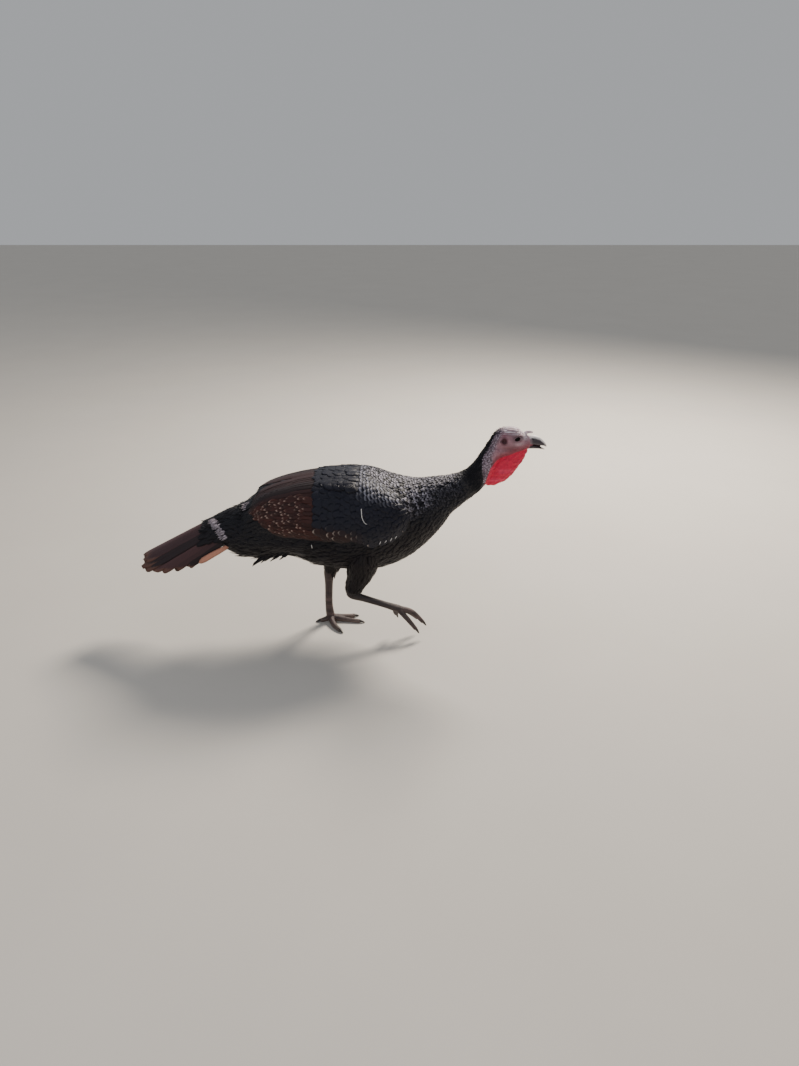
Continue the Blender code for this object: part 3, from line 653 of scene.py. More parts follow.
# Shanks and toes, with overlapping scutes down the front of the shank and along the top of each toe, and
# beads of horn between them.
SCUTE_SHANK, SCUTE_TOE, HORN_BEAD = 0.0052, 0.0036, 0.0024
SHANK_FRONT = {"left": (1.0, 0.0, 0.0), "right": (0.34, 0.0, 0.94)}
PATH_STEP, SKIPPED = 0.0004, 5  # steps of a path, of which every fifth is tried first as the nearest
feet = []
for side, paths in LEGS.items():
    foot = fused(f"foot_{side}",
                 [tube(f"{part}_{side}_loft", rows, hide_material) for part, rows in paths.items()], FUSED, 3)
    at, normal = points_of(foot), normals_of(foot)
    gaps, heights = [], []
    for part, rows in paths.items():
        on_shank = part == "shank"
        path, length = smooth_line(rows, PATH_STEP)
        gap, nearest = distance_to_path(at, path[::SKIPPED, :3])
        nearest = np.minimum(nearest * SKIPPED, len(path) - 1)
        line = path[nearest]
        along = np.gradient(path[:, :3], axis=0)[nearest]
        along /= np.linalg.norm(along, axis=1)[:, None]
        run = nearest * length / (len(path) - 1) + ((at - line[:, :3]) * along).sum(1)
        facing = np.array(SHANK_FRONT[side] if on_shank else (0.0, 0.0, 1.0))
        top = (normal * (facing - along * (along @ facing)[:, None])).sum(1)
        sidewise = (normal * np.cross(along, facing)).sum(1)
        shift = 0.5 * (sidewise > 0) if on_shank else 0.0  # the shank has two rows, half a scute apart
        phase = (run / (SCUTE_SHANK if on_shank else SCUTE_TOE) + shift) % 1.0
        plate = (1 - phase) ** 0.6 * step_up(phase, 0.0, 0.12)
        front = step_up(top, 0.05, 0.35)
        seam = hump(sidewise, 0.0, 0.10) * front if on_shank else 0.0
        bead = warts(at, HORN_BEAD) - 0.4
        heights.append(0.00062 * plate * front - 0.0004 * seam + 0.00042 * bead * (1 - front))
        gaps.append(gap - line[:, 3])
        if on_shank:
            bare = step_up(np.linalg.norm(at - path[0, :3], axis=1), 0.006, 0.016)  # smooth under the coat
    chosen = np.argmin(np.array(gaps), axis=0)
    height = np.array(heights)[chosen, np.arange(len(at))]
    at = at + normal * (height * bare)[:, None]
    if side == "left":
        at[:, 2] = np.maximum(at[:, 2], 0.0)
    move_points(foot, at)
    feet.append(foot)


def tuck(run, turn):
    """Metres by which hide and coat lie deeper than the measured body: the belly rises behind the thighs, and
    the rump dips behind the wings. Each is a depth times a smooth share along the run and one round the
    turn."""
    turned = np.abs((turn + math.pi) % (2 * math.pi) - math.pi)
    belly = step_up(run, run_at(-0.165), run_at(-0.100)) * (1 - step_up(run, run_at(-0.052), run_at(-0.038)))
    rump = hump(run, run_at(-0.155), 0.018) * (1 - step_up(turned, 0.7, 1.3))
    return 0.0140 * belly * step_up(turned, 1.7, 2.35) + 0.0130 * rump


# The shell under the coat, sunk by its depth, and the shins.
shell_run = np.linspace(0.004, run_at(0.345), 110)[:, None]
depth = COAT_DEPTH * step_up(run_at(0.335) - shell_run, 0.0, 0.06) * 0.9 + 0.0012 + tuck(shell_run, full_turn)
shell = loft("shell", body.place(shell_run, full_turn, -depth), hide_material)
SHINS = {
    "left": [(0.030, -0.006, 0.215, 0.036), (0.018, -0.003, 0.172, 0.022), (0.005, 0.0, 0.145, 0.0125),
             (-0.002, 0.0, 0.126, 0.0095)],
    "right": [(0.082, -0.074, 0.205, 0.040), (0.072, -0.078, 0.158, 0.023), (0.060, -0.079, 0.133, 0.0140),
              (0.056, -0.080, 0.116, 0.0110)],
}
shins = [tube(f"shin_under_{side}", rows, hide_material, spacing=0.004) for side, rows in SHINS.items()]
skin = joined("skin", [head, shell, *shins, *feet])

# Colours of the hide: ashy rose head, whitish crown, dark ear, slate neck with pale warts, red dewlap, dun
# legs. Where the coat lies over it the hide is as black as the coat.
at = points_of(skin)
x, z, out = at[:, 0], at[:, 2], np.abs(at[:, 1] - MIDLINE_Y)
upper = x + 0.9 * (z - 0.38) > 0.312
bare = upper & (z > 0.30)
face = face_share(x, z) * bare
lateral = step_up(out, 0.008, 0.014)
eye_gap, ear_gap = eye_share(x, z), ear_share(x, z, *EAR_MARK)
grain = warts(at, WART)
streaks = waves(at * [0.45, 2.0, 1.3], 0.0026, 7)
below, ahead = past_dewlap_edge(x, z)
below, ahead = below + 0.0012 * waves(at, 0.006, 9), ahead + 0.0010 * waves(at, 0.005, 10)
red = step_up(below, -0.0015, 0.0025) * step_up(ahead, -0.002, 0.0015) * bare * step_up(x, 0.3385, 0.343)

# The dark skin between the bristles: behind a line on the head, and within the feathers' reach on the neck.
ragged = 0.0022 * waves(at, 0.0030, 15)
band = bare * (z > 0.447) * step_up(0.3522 + 0.56 * (z - 0.447) - x + ragged, -0.0012, 0.0012)
necks = np.flatnonzero(bare & (z <= 0.452) & (x < 0.39))
first = int(run_at(0.290) / body.step)
nearest = distance_to_path(at[necks], body.middle[first:])[1] + first
off = at[necks] - body.middle[nearest]
away = np.degrees(np.arctan2(np.abs((off * body.right[nearest]).sum(1)), (off * body.up[nearest]).sum(1)))
held = np.interp(body.middle[nearest, 0], *NECK_BAND) - away + 2500 * ragged[necks]
band[necks] = np.maximum(band[necks], step_up(held, -5, 3))

snood = np.clip(hump(z, 0.4712, 0.0028) * step_up(x, 0.4225, 0.4275) * step_up(0.012 - out, 0.0, 0.004), 0, 1)
leg = (z < 0.135) & ~upper
# The raised leg's shank, under the body, is painted darker: painted shade.
raised_leg_shade = leg * step_up(-at[:, 1], 0.035, 0.045) * (1 - step_up(x, 0.10, 0.20))
colours = painted(
    "#151216",
    ("#725e69", bare), ("#c6b8c6", bare * step_up(grain, 0.45, 0.9) * 0.8),  # neck and its pale warts
    ("#2c2430", bare * step_up(0.22 - grain, 0.0, 0.2) * 0.7),
    ("#a57984", face), ("#6a3843", face * hump(z, 0.4405, 0.009) * hump(x, 0.398, 0.020) * 0.85),  # face, jaw
    ("#5d4a50", face * hump(x, 0.402, 0.012) * hump(z, 0.471, 0.006) * 0.7),
    ("#b8a5af", face * step_up(z - 0.10 * np.abs(x - 0.405), 0.4675, 0.4740)),  # crown and its streaks
    ("#7d4f5b", face * step_up(z, 0.4675, 0.4740) * step_up(streaks, -0.05, 0.5) * 0.85),
    # Whitish crinkles between the crown's dark streaks: painted highlights.
    ("#f0e4ea", face * step_up(z, 0.4690, 0.4750) * step_up(-streaks, 0.15, 0.6) * 0.75),
    ("#7a3f52", face * hump(x, 0.380, 0.007) * hump(z, 0.4715, 0.0035) * step_up(streaks, -0.5, 0.2)),
    ("#c9aab2", face * hump(x, 0.414, 0.010) * hump(z, 0.4515, 0.0040) * 0.6),  # cheek and lore
    ("#cfc0c5", face * hump(x, 0.4265, 0.007) * step_up(z, 0.455, 0.463) * 0.85),
    # Darker skin round the eye, and more so above it: painted shade under the brow.
    ("#5a434a", face * lateral * hump(eye_gap, 1.5, 0.6) * (0.45 + 0.45 * step_up(z, 0.460, 0.467))),  # lids
    ("#8f757b", face * lateral * hump(eye_gap, 1.16, 0.12) * 0.25),
    ("#3c2a2e", face * lateral * step_up(1.0 - eye_gap, 0.0, 0.2)),
    ("#70414f", face * lateral * step_up(1.5 - ear_gap, 0.0, 0.5) * 0.8),  # ear
    ("#431020", face * lateral * step_up(1.05 - ear_gap, 0.0, 0.45)),
    ("#84263a", bare * step_up(below, -0.0190, -0.0030) * step_up(x, 0.352, 0.366) * 0.85),  # dewlap
    # The dewlap red, with lighter pink patches that are painted highlights.
    ("#d6063f", red), ("#e83c66", red * step_up(waves(at * [1.0, 1.0, 0.6], 0.006, 11), 0.1, 0.8) * 0.5),
    ("#8a0020", red * step_up(-waves(at, 0.0035, 12), 0.25, 0.8) * 0.35),
    ("#120f12", band * (1 - red) * 0.97), ("#e6d0d7", snood),
    ("#3e2e2d", leg), ("#65514d", leg * step_up(waves(at, 0.010, 13), -0.1, 0.8) * 0.6),  # legs, paler below
    # Dark patches on the legs, and painted shade on the raised leg's shank.
    ("#241b1b", leg * step_up(waves(at, 0.006, 14), 0.2, 0.9) * 0.6), ("#1b1416", raised_leg_shade * 0.7),
    ("#8c7b70", leg * step_up(0.012 - z, 0.0, 0.008) * 0.35))
add_colours(skin, "tint", colours)
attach(skin, "root")
LEG_NODES = ("shin", "shank", "foot_pad", "toe_inner", "toe_middle", "toe_outer", "toe_hind")
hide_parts(*BODY_NODES, "head", "dewlap", "snood", "ear_left", "ear_right",
            *(f"{part}_{side}" for side in LEGS for part in LEG_NODES))


# ------------------------------------------------------------------------------------------------------------
# Eyes. Each is a glass ball, blown dark brown with a black pupil and a clear wet coat over it, and is set
# into the socket so that the lids close round it.
EYE_TILT_DEG = 6.0  # the gaze is a little forward of square to the head
PUPIL_DEG, IRIS_EDGE_DEG = 27, (38, 50)  # angles off the gaze: the pupil's edge, and where the iris darkens


def ball(name, centre, radius, axis, material, rings=28, around=40):
    """A sphere whose poles lie on an axis: the centre, plus the radius along axis x cos(polar) + ring x
    sin(polar), where the ring is square to the axis."""
    side = np.cross(axis, [0.0, 0.0, 1.0])
    side /= np.linalg.norm(side)
    up = np.cross(side, axis)
    polar = np.linspace(0, math.pi, rings + 1)[1:-1, None, None]
    angle = np.linspace(0, 2 * math.pi, around, endpoint=False)[None, :, None]
    ring = np.cos(polar) * axis + np.sin(polar) * (np.cos(angle) * up + np.sin(angle) * side)
    points = np.concatenate([ring.reshape(-1, 3), axis[None], -axis[None]])
    return mesh_object(name, centre + radius * points, loft_faces(rings - 1, around), material)


tree, shader, eye_material = new_material(  # near-black ball with one sharp highlight
    "wet_dark_eye", Roughness=0.12, Specular_IOR_Level=0.08, Coat_Weight=0.06, Coat_Roughness=0.03)
tint = add_node(tree, "Attribute", {"attribute_name": "tint"}).outputs["Color"]
tree.links.new(tint, shader.inputs["Base Color"])
for side, hand in (("left", 1), ("right", -1)):
    centre = np.array([EYE_AT[0], MIDLINE_Y + hand * EYE_OUT, EYE_AT[1]])
    tilt = math.radians(EYE_TILT_DEG)
    gaze = np.array([math.sin(tilt), hand * math.cos(tilt), 0.0])
    eye = ball(f"eyeball_{side}", centre, EYE_RADIUS, gaze, eye_material)
    off_axis = np.degrees(np.arccos(np.clip((points_of(eye) - centre) @ gaze / EYE_RADIUS, -1, 1)))
    add_colours(eye, "tint", painted("#100705", ("#030202", step_up(PUPIL_DEG - off_axis, -1.5, 1.5)),
                                     ("#0c0706", step_up(off_axis, *IRIS_EDGE_DEG))))
    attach(eye, "root")
    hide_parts(f"eye_{side}")


# ------------------------------------------------------------------------------------------------------------
# Bill. Two horn halves held a little open, the upper one hooked over the lower, with slit nostrils, a pale
# tip, a painted highlight along the ridge, and a dark tongue between them.
BILL_UPPER = [  # x, height of the cutting edge, half width, rise above it and depth below it
    (0.4360, 0.4497, 0.0109, 0.0140, 0.0020), (0.4400, 0.4493, 0.0106, 0.0158, 0.0020),
    (0.4480, 0.4480, 0.0094, 0.0168, 0.0020), (0.4590, 0.4455, 0.0072, 0.0152, 0.0018),
    (0.4680, 0.4440, 0.0046, 0.0092, 0.0016), (0.4735, 0.4418, 0.0020, 0.0040, 0.0022),
    (0.4748, 0.4412, 0.0008, 0.0020, 0.0014),
]
BILL_LOWER = [
    (0.4320, 0.4440, 0.0096, 0.0010, 0.0085), (0.4470, 0.4425, 0.0080, 0.0010, 0.0065),
    (0.4590, 0.4395, 0.0056, 0.0010, 0.0040), (0.4680, 0.4360, 0.0032, 0.0009, 0.0022),
    (0.4712, 0.4346, 0.0014, 0.0007, 0.0010),
]
BILL_ROUNDNESS = 0.8
TONGUE = [(0.4340, MIDLINE_Y, 0.4445, 0.0052), (0.4440, MIDLINE_Y, 0.4440, 0.0042),
          (0.4540, MIDLINE_Y, 0.4422, 0.0030), (0.4620, MIDLINE_Y, 0.4405, 0.0012)]
NOSTRIL_AT, NOSTRIL_LENGTH, NOSTRIL_NARROWNESS = (0.4440, 0.4588), 0.0034, 2.3


def bill_half(name, rows, material, sections=70, around=56):
    """Sections of one half of a bill: a vault over the cutting edges and a shallow floor, half x sin(angle)
    across and rise or depth x cos(angle) to the power of the roundness upwards."""
    dense, _ = smooth_line(rows, (rows[-1][0] - rows[0][0]) / sections)
    x, edge, half, rise, depth = (column[:, None] for column in dense.T)
    angle = np.linspace(0, 2 * math.pi, around, endpoint=False)
    over = np.cos(angle)
    height = np.where(over > 0, rise, -depth) * np.abs(over) ** BILL_ROUNDNESS
    return loft(name, np.stack([x + 0 * height, MIDLINE_Y - half * np.sin(angle), edge + height], -1),
                material)


# Smooth dark horn, satin, with growth lines along it.
tree, shader, horn_material = new_material("bill_horn", Roughness=0.42, Specular_IOR_Level=0.35)
tint = add_node(tree, "Attribute", {"attribute_name": "tint"}).outputs["Color"]
where = add_node(tree, "TexCoord").outputs["Object"]
stretch = add_node(tree, "Mapping", Vector=where, Scale=(60.0, 400.0, 400.0)).outputs["Vector"]
lines = add_node(tree, "TexNoise", Vector=stretch, Scale=3.0, Detail=3.0).outputs["Fac"]
dimming = add_node(tree, "MapRange", Value=lines, in_1=0.3, in_2=0.7, in_3=0.82, in_4=1.15).outputs["Result"]
tone = add_node(tree, "VectorMath", {"operation": "SCALE"}, in_0=tint, Scale=dimming).outputs["Vector"]
tree.links.new(tone, shader.inputs["Base Color"])
raised = add_node(tree, "Bump", Height=lines, Strength=0.25, Distance=0.0003).outputs["Normal"]
tree.links.new(raised, shader.inputs["Normal"])

upper_bill = bill_half("upper_bill", BILL_UPPER, horn_material)
at = points_of(upper_bill)
ahead, above = at[:, 0] - NOSTRIL_AT[0], at[:, 2] - NOSTRIL_AT[1]
along, across = ahead * 0.94 + above * -0.34, ahead * 0.34 + above * 0.94
slit = np.hypot(along, NOSTRIL_NARROWNESS * across) / NOSTRIL_LENGTH
lateral = step_up(np.abs(at[:, 1] - MIDLINE_Y), 0.002, 0.005)
height = -0.0010 * step_up(1 - slit, 0.0, 0.5) * lateral + 0.0006 * hump(slit, 1.35, 0.3) * lateral
move_points(upper_bill, at + normals_of(upper_bill) * height[:, None])
rows = np.array(BILL_UPPER).T
edge = np.interp(at[:, 0], *rows[:2])
ridge = np.interp(at[:, 0], *rows[[0, 3]]) + edge
# Flesh at the root, a painted highlight along the ridge, a pale tip and edge, and the dark nostril.
add_colours(upper_bill, "tint", painted(
    "#453e43", ("#8d787e", step_up(0.4450 - at[:, 0], 0.0, 0.006) * 0.8),
    ("#efe8e6", step_up(at[:, 2] - ridge, -0.0062, -0.0024) * 0.95),
    ("#cdc5bc", step_up(at[:, 0], 0.4690, 0.4735) * 0.9),
    ("#8f8584", hump(at[:, 2] - edge, 0.001, 0.0012) * 0.5),
    ("#0d090a", step_up(1.05 - slit, 0.0, 0.4) * lateral)))

lower_bill = bill_half("lower_half", BILL_LOWER, horn_material)
tongue = tube("tongue", TONGUE, horn_material, 20, 0.0012)
soft = len(lower_bill.data.vertices)
lower_bill = joined("lower_bill", [lower_bill, tongue])
at = points_of(lower_bill)
add_colours(lower_bill, "tint", painted(
    "#3c353a", ("#c4bab2", step_up(at[:, 0], 0.461, 0.468)),
    ("#8b7478", step_up(0.440 - at[:, 0], 0.0, 0.006) * 0.7), ("#3a1a1c", np.arange(len(at)) >= soft)))
for piece, node in ((upper_bill, "bill_upper"), (lower_bill, "bill_lower")):
    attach(piece, "root")
    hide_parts(node)


# ------------------------------------------------------------------------------------------------------------
# Claws. Eight short blunt hooks of dark horn. Each grows from a toe's end in line with it and bends down to
# its point, and those of the standing foot stay on the floor.
CLAW_LENGTH, CLAW_SUNK, CLAW_RADIUS, CLAW_POINT = 0.013, 0.002, 0.0031, 0.0007
tree, shader, claw_material = new_material(  # worn horn, half dull
    "claw_horn", Base_Color=linear("#2b2422"), Roughness=0.4)
for side, paths in LEGS.items():
    for toe in ("inner", "middle", "outer", "hind"):
        tip, before = np.array(paths[toe][-1][:3]), np.array(paths[toe][-2][:3])
        along = (tip - before) / np.linalg.norm(tip - before)
        rows = [(*(tip + along * (CLAW_LENGTH * t - CLAW_SUNK) + [0, 0, 0.0012 - 0.003 * t * t]),
                 CLAW_RADIUS * (1 - t) ** 0.6 + CLAW_POINT) for t in np.linspace(0, 1, 9)]
        claw = tube(f"nail_{toe}_{side}", rows, claw_material, 16, 0.0009)
        if side == "left":
            at = points_of(claw)
            at[:, 2] = np.maximum(at[:, 2], 0.0002)
            move_points(claw, at)
        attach(claw, "root")
        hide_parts(f"claw_{toe}_{side}")


# ------------------------------------------------------------------------------------------------------------
# Plumage. Every feather is a thin closed vane, cambered across and rounded at its end, rooted in the skin and
# laid back over the next row, so that the rows overlap like tiles and follow the body that was measured
# above.
VANE_ROWS = np.array([0.0, 0.32, 0.58, 0.77, 0.90, 0.975, 1.0])  # shares of the length that have points
VANE_COLUMNS = 5
VANE_THICKNESS, EDGE_THICKNESS = 0.0004, 0.00005
BAKE_PATCH = 0.0028  # side of the square that each vane takes in its bake map
BARB_PITCH = 0.0013  # barbs are drawn about three times as coarse as life, so that they show at all


def vane_faces(count, rows, columns):
    """Faces of many closed vanes. A vane is rows of rings, each with its upper points and then its lower
    ones."""
    ring = 2 * columns - 2
    i, j = np.meshgrid(np.arange(rows - 1), np.arange(ring), indexing="ij")
    k = (j + 1) % ring
    sides = np.stack([i * ring + j, i * ring + k, (i + 1) * ring + k, (i + 1) * ring + j], -1).reshape(-1, 4)
    j = np.arange(1, columns - 2)
    root_quads = np.stack([j, ring - j, ring - j - 1, j + 1], 1)
    root_tips = np.array([[0, ring - 1, 1], [columns - 2, columns, columns - 1]])
    last = (rows - 1) * ring
    quads = np.concatenate([sides, root_quads, root_quads[:, ::-1] + last])
    tips = np.concatenate([root_tips, root_tips[:, ::-1] + last])
    shift = np.arange(count)[:, None, None] * rows * ring
    return [(quads + shift).reshape(-1, 4), (tips + shift).reshape(-1, 3)]


def add_uv(obj, name, values):
    """A UV map from one value for each vertex."""
    corners = np.empty(len(obj.data.loops), np.int32)
    obj.data.loops.foreach_get("vertex_index", corners)
    obj.data.uv_layers.new(name=name).data.foreach_set("uv", values[corners].astype(np.float32).ravel())


def coat(name, place, length, width, lift, marks, patch, material, camber=0.05, blunt=0.55, rows=VANE_ROWS,
         columns=VANE_COLUMNS, neck=0.35, thickness=VANE_THICKNESS, uneven=0.12, ragged=0.0, roll=0.06,
         tilt=0.0):
    """One mesh of many vanes. place turns runs along and across each vane and a height over the hide into
    points. The half width rises from the quill to full width by 0.45 of the length and closes as a rounded
    end after the share called blunt. The height goes from lift[0] at the root to lift[1] at the tip, plus a
    camber that is a share of the width. Chance narrows each side by up to the share uneven, draws the barbs
    at the end out by up to ragged metres, and tips the vane to one side by up to roll. tilt lifts the edge on
    the side of the larger turn."""
    count, ring = len(length), 2 * columns - 2
    chance = np.random.default_rng(count + int(1e6 * length[0]))

    def spread(value):
        return np.asarray(value)[..., None, None] * np.ones((count, 1, 1))

    length, width, low, high, camber, blunt = (spread(value)
                                               for value in (length, width, *lift, camber, blunt))
    w = np.linspace(-1, 1, columns)
    across = np.concatenate([w, w[-2:0:-1]])[None, None]
    below = np.concatenate([np.zeros(columns), np.ones(columns - 2)])[None, None]
    t = rows[None, :, None]
    shape = (neck + (1 - neck) * step_up(t, 0.0, 0.45)) * np.sqrt(
        np.maximum(1 - np.clip((t - blunt) / (1 - blunt), 0, 1) ** 2.2, 0.012))
    sides = 1 - uneven * chance.uniform(0, 1, (count, len(rows), 2))
    half = width / 2 * shape * np.where(across < 0, sides[..., :1], sides[..., 1:])
    top = low + (high - low) * t + camber * width * (1 - across**2) * shape
    top = top + (tilt + chance.uniform(-roll, roll, count)[:, None, None] * t) * half * across
    height = top - thickness * below * (1 - across**2) - EDGE_THICKNESS * below
    column = np.concatenate([np.arange(columns), np.arange(columns - 2, 0, -1)])
    along = length * t + ragged * chance.uniform(-1, 0.3, (count, columns))[:, None, column] * t**8
    obj = mesh_object(name, place(along, half * across, height), vane_faces(count, len(rows), columns),
                      material)
    u, v, along = np.broadcast_arrays(across, t, along)
    middle_u, middle_v = (value[:, None, None] for value in patch)
    baked = np.stack([middle_u + u * (BAKE_PATCH / 2), middle_v + (v - 0.5) * BAKE_PATCH], -1)
    add_uv(obj, "OFBake", baked.reshape(-1, 2))
    add_uv(obj, "vane", np.stack([u * 0.5 + 0.5, v], -1).reshape(-1, 2))
    add_uv(obj, "barb", np.stack([half * across * 100, along * 100], -1).reshape(-1, 2))
    add_colours(obj, "marks",
                np.broadcast_to(marks[:, None, None], (count, len(rows), ring, 4)).reshape(-1, 4))
    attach(obj, "root")
    return obj


def on_hide(hide, s, turn, yaw, table=None):
    """A place function for vanes that lie back along a hide: towards a smaller run, and swung by yaw towards
    a larger turn."""
    s, turn, yaw = (np.asarray(value, float)[:, None, None] for value in (s, turn, yaw))
    around = np.maximum(hide.read(hide.reach if table is None else table, s, turn), 0.012)

    def place(along, across, height):
        run = s - (along * np.cos(yaw) - across * np.sin(yaw))
        return hide.place(run, turn + (along * np.sin(yaw) + across * np.cos(yaw)) / around, height, table)

    return place


def bake_spot(run, turn):
    """Middle of a vane's patch in the bake map: its share of the body's length, and its turn as a share of a
    full turn."""
    return run / body.length, turn / (2 * math.pi) % 1.0


def rows_round(hide, start, stop, spacing, rng, table=None, jitter=0.12):
    """Roots in staggered rows round a hide from one run to another, as runs and turns from -180 to 180
    degrees. spacing gives the distance between roots at a run."""
    runs, turns, run, odd = [], [], start, 0
    while run < stop:
        gap = spacing(run)
        angle = np.linspace(0, 2 * math.pi, 90, endpoint=False)
        ring = hide.place(np.full(90, run), angle, 0.0, table)
        arc = np.concatenate([[0], np.cumsum(np.linalg.norm(np.roll(ring, -1, 0) - ring, axis=1))])
        count = max(int(arc[-1] / gap), 3)
        spots = (np.arange(count) + 0.5 * (odd % 2) + rng.uniform(-jitter, jitter, count)) / count * arc[-1]
        turns.append(np.interp(spots % arc[-1], arc, np.append(angle, 2 * math.pi)))
        runs.append(run + rng.uniform(-jitter, jitter, count) * gap)
        run, odd = run + gap * 0.9, odd + 1
    return np.concatenate(runs), (np.concatenate(turns) + math.pi) % (2 * math.pi) - math.pi


def plumage(name, colour, second, roughness, sheen, fringe_colour="#b9a890", painted_sheen_colour="#8d8d99",
            fleck=False, contrast=0.45, tip=(0.86, 0.97)):
    """Feather material, a soft satin surface. The vane is near black and turns to a second colour by its
    brown mark. A fringe mark draws a pale edge round the end, or just a short fleck at it, a sheen mark a
    band of painted silvery sheen short of the end, and fine ridges run out from the shaft."""
    tree, shader, material = new_material(name, Roughness=roughness, Specular_IOR_Level=0.30,
                                          Sheen_Weight=sheen, Sheen_Roughness=0.4,
                                          Sheen_Tint=linear("#a8b0d0"))
    marks = add_node(tree, "Attribute", {"attribute_name": "marks"})
    split = add_node(tree, "SeparateColor", Color=marks.outputs["Color"]).outputs
    chance = marks.outputs["Alpha"]
    vane_map = add_node(tree, "UVMap", {"uv_map": "vane"}).outputs["UV"]
    vane = add_node(tree, "SeparateXYZ", Vector=vane_map).outputs
    barb_map = add_node(tree, "UVMap", {"uv_map": "barb"}).outputs["UV"]
    barb = add_node(tree, "SeparateXYZ", Vector=barb_map).outputs

    def maths(operation, *values):
        inputs = {f"in_{i}": value for i, value in enumerate(values)}
        return add_node(tree, "Math", {"operation": operation}, **inputs).outputs["Value"]

    def ramp(value, low, high):
        smooth = {"interpolation_type": "SMOOTHSTEP"}
        return add_node(tree, "MapRange", smooth, Value=value, in_1=low, in_2=high).outputs["Result"]

    def mix(share, first, other):
        return add_node(tree, "Mix", {"data_type": "RGBA"}, Factor=share, in_6=first, in_7=other).outputs[2]

    off_shaft = maths("ABSOLUTE", maths("SUBTRACT", vane["X"], 0.5))
    slant = maths("SUBTRACT", maths("ABSOLUTE", barb["X"]), barb["Y"])
    bent = add_node(tree, "TexNoise", Vector=barb_map, Scale=2.0).outputs["Fac"]
    cut = maths("ADD", slant, maths("MULTIPLY", bent, 0.25))
    ridges = maths("SINE", maths("MULTIPLY", cut, 2 * math.pi / (BARB_PITCH * 100)))
    streak = add_node(tree, "TexNoise", {"noise_dimensions": "1D"}, W=maths("MULTIPLY", cut, 6.0), Scale=1.0,
                      Detail=3.0).outputs["Fac"]
    broken = maths("MULTIPLY", maths("SUBTRACT", streak, 0.5), 0.22)
    end = maths("ADD", maths("ADD", vane["Y"], broken),
                maths("MULTIPLY", maths("POWER", off_shaft, 2.0), 0.9))
    near_tip = ramp(end, *tip)
    if fleck:
        near_tip = maths("MULTIPLY", near_tip, maths("SUBTRACT", 1.0, ramp(off_shaft, 0.14, 0.36)))
    band = maths("MULTIPLY", ramp(end, 0.62, 0.80), maths("SUBTRACT", 1.0, ramp(end, 0.92, 0.99)))
    tone = mix(split["Red"], linear(colour), linear(second))
    dimming = maths("ADD", 1.0 - contrast, maths("MULTIPLY", maths("ADD", chance, streak), contrast))
    tone = add_node(tree, "VectorMath", {"operation": "SCALE"}, in_0=tone, Scale=dimming).outputs["Vector"]
    # Painted sheen: a silvery band short of the end, as strong as the blue mark.
    tone = mix(maths("MULTIPLY", split["Blue"], band), tone, linear(painted_sheen_colour))
    tone = mix(maths("MULTIPLY", split["Green"], near_tip), tone, linear(fringe_colour))
    tree.links.new(tone, shader.inputs["Base Color"])
    raised = add_node(tree, "Bump", Height=ridges, Strength=0.3, Distance=0.0003).outputs["Normal"]
    tree.links.new(raised, shader.inputs["Normal"])
    return material


def marked(count, brown=0.0, fringe=0.0, painted_sheen=0.0, chance=0.0):
    """The four marks of each vane as an array."""
    return np.stack([np.broadcast_to(value, count) for value in (brown, fringe, painted_sheen, chance)], 1)


# Blue-black body feathers, soft and dark, with painted silvery sheen where they are marked.
black_vane = plumage("black_turkey_vane", "#080914", "#10070a", 0.54, 0.02, "#b9b2b0", "#97939f")
# Smooth wing coverts, the bluest and glossiest of the coat, with a short pale fleck at some tips, and
# painted silvery sheen on the upper front ones.
glossy_vane = plumage("blue_black_wing_vane", "#090b1c", "#2a1512", 0.46, 0.03, "#c4b4a8", "#9a9aa8",
                      fleck=True, contrast=0.3)
# Flight feathers worn to a warm brown, strongly streaked along their barbs.
brown_vane = plumage("red_brown_flight_vane", "#151016", "#3b1a14", 0.52, 0.02, "#a68b7f", fleck=True,
                     contrast=0.8, tip=(0.84, 0.95))
# Stiff tail feathers, black and purple-brown by turns, with a thin tawny end.
tail_vane = plumage("tawny_ended_tail_vane", "#120e13", "#523638", 0.52, 0.02, "#6b4b40", contrast=0.8,
                    tip=(0.94, 1.0))


# ------------------------------------------------------------------------------------------------------------
# Neck and body coat. Small scale-like vanes on the neck grow to broad ones on back and breast. Those of the
# mantle and the neck's top carry painted sheen, a silvery band, those of the belly are long, loose and
# ragged.
SPACING = ([-1.0, 0.02, 0.08, 0.14, 0.20, 0.26, 0.32, 0.38],  # x and the gap between roots there
           [0.0102, 0.0098, 0.0084, 0.0078, 0.0068, 0.0056, 0.0046, 0.0040])
COAT_ROOT = -0.0024  # height of the quills' roots, which sink into the hide


def body_x(run):
    """Place along x of a run of the body line."""
    return np.interp(run, body_runs, body.middle[:, 0])


rng = np.random.default_rng(11)
s, turn = rows_round(body, 0.012, body.length - 0.002, lambda run: float(np.interp(body_x(run), *SPACING)),
                     rng, over_wings)
x = body_x(s)
angle = np.degrees(turn)
limit = np.interp(x, *NECK_BAND, left=181)
margin = [body.read(wing_only, s - shift, turn + swing)
          for shift in (0.0, 0.006, -0.006) for swing in (-0.04, 0.0, 0.04)]
under_edge = (body.read(wing_only, s, turn + 0.17 * np.sign(turn)) <= 0) & (np.abs(angle) > 70) & (x < 0.10)
chosen = (np.abs(angle) < limit + rng.normal(0, 3, len(s))) & (x < 0.338)
chosen &= ~(np.minimum.reduce(margin) > 0) | (x < -0.095) | under_edge
s, turn, x, angle = s[chosen], turn[chosen], x[chosen], angle[chosen]
gap = np.interp(x, *SPACING)
on_neck = step_up(x, 0.20, 0.27)
belly = step_up(np.abs(angle), 100, 135) * (1 - step_up(x, 0.06, 0.16))
upper_side = 1 - step_up(np.abs(angle), 50, 94)
mantle = step_up(x, 0.040, 0.075) * (1 - step_up(x, 0.235, 0.275)) * upper_side
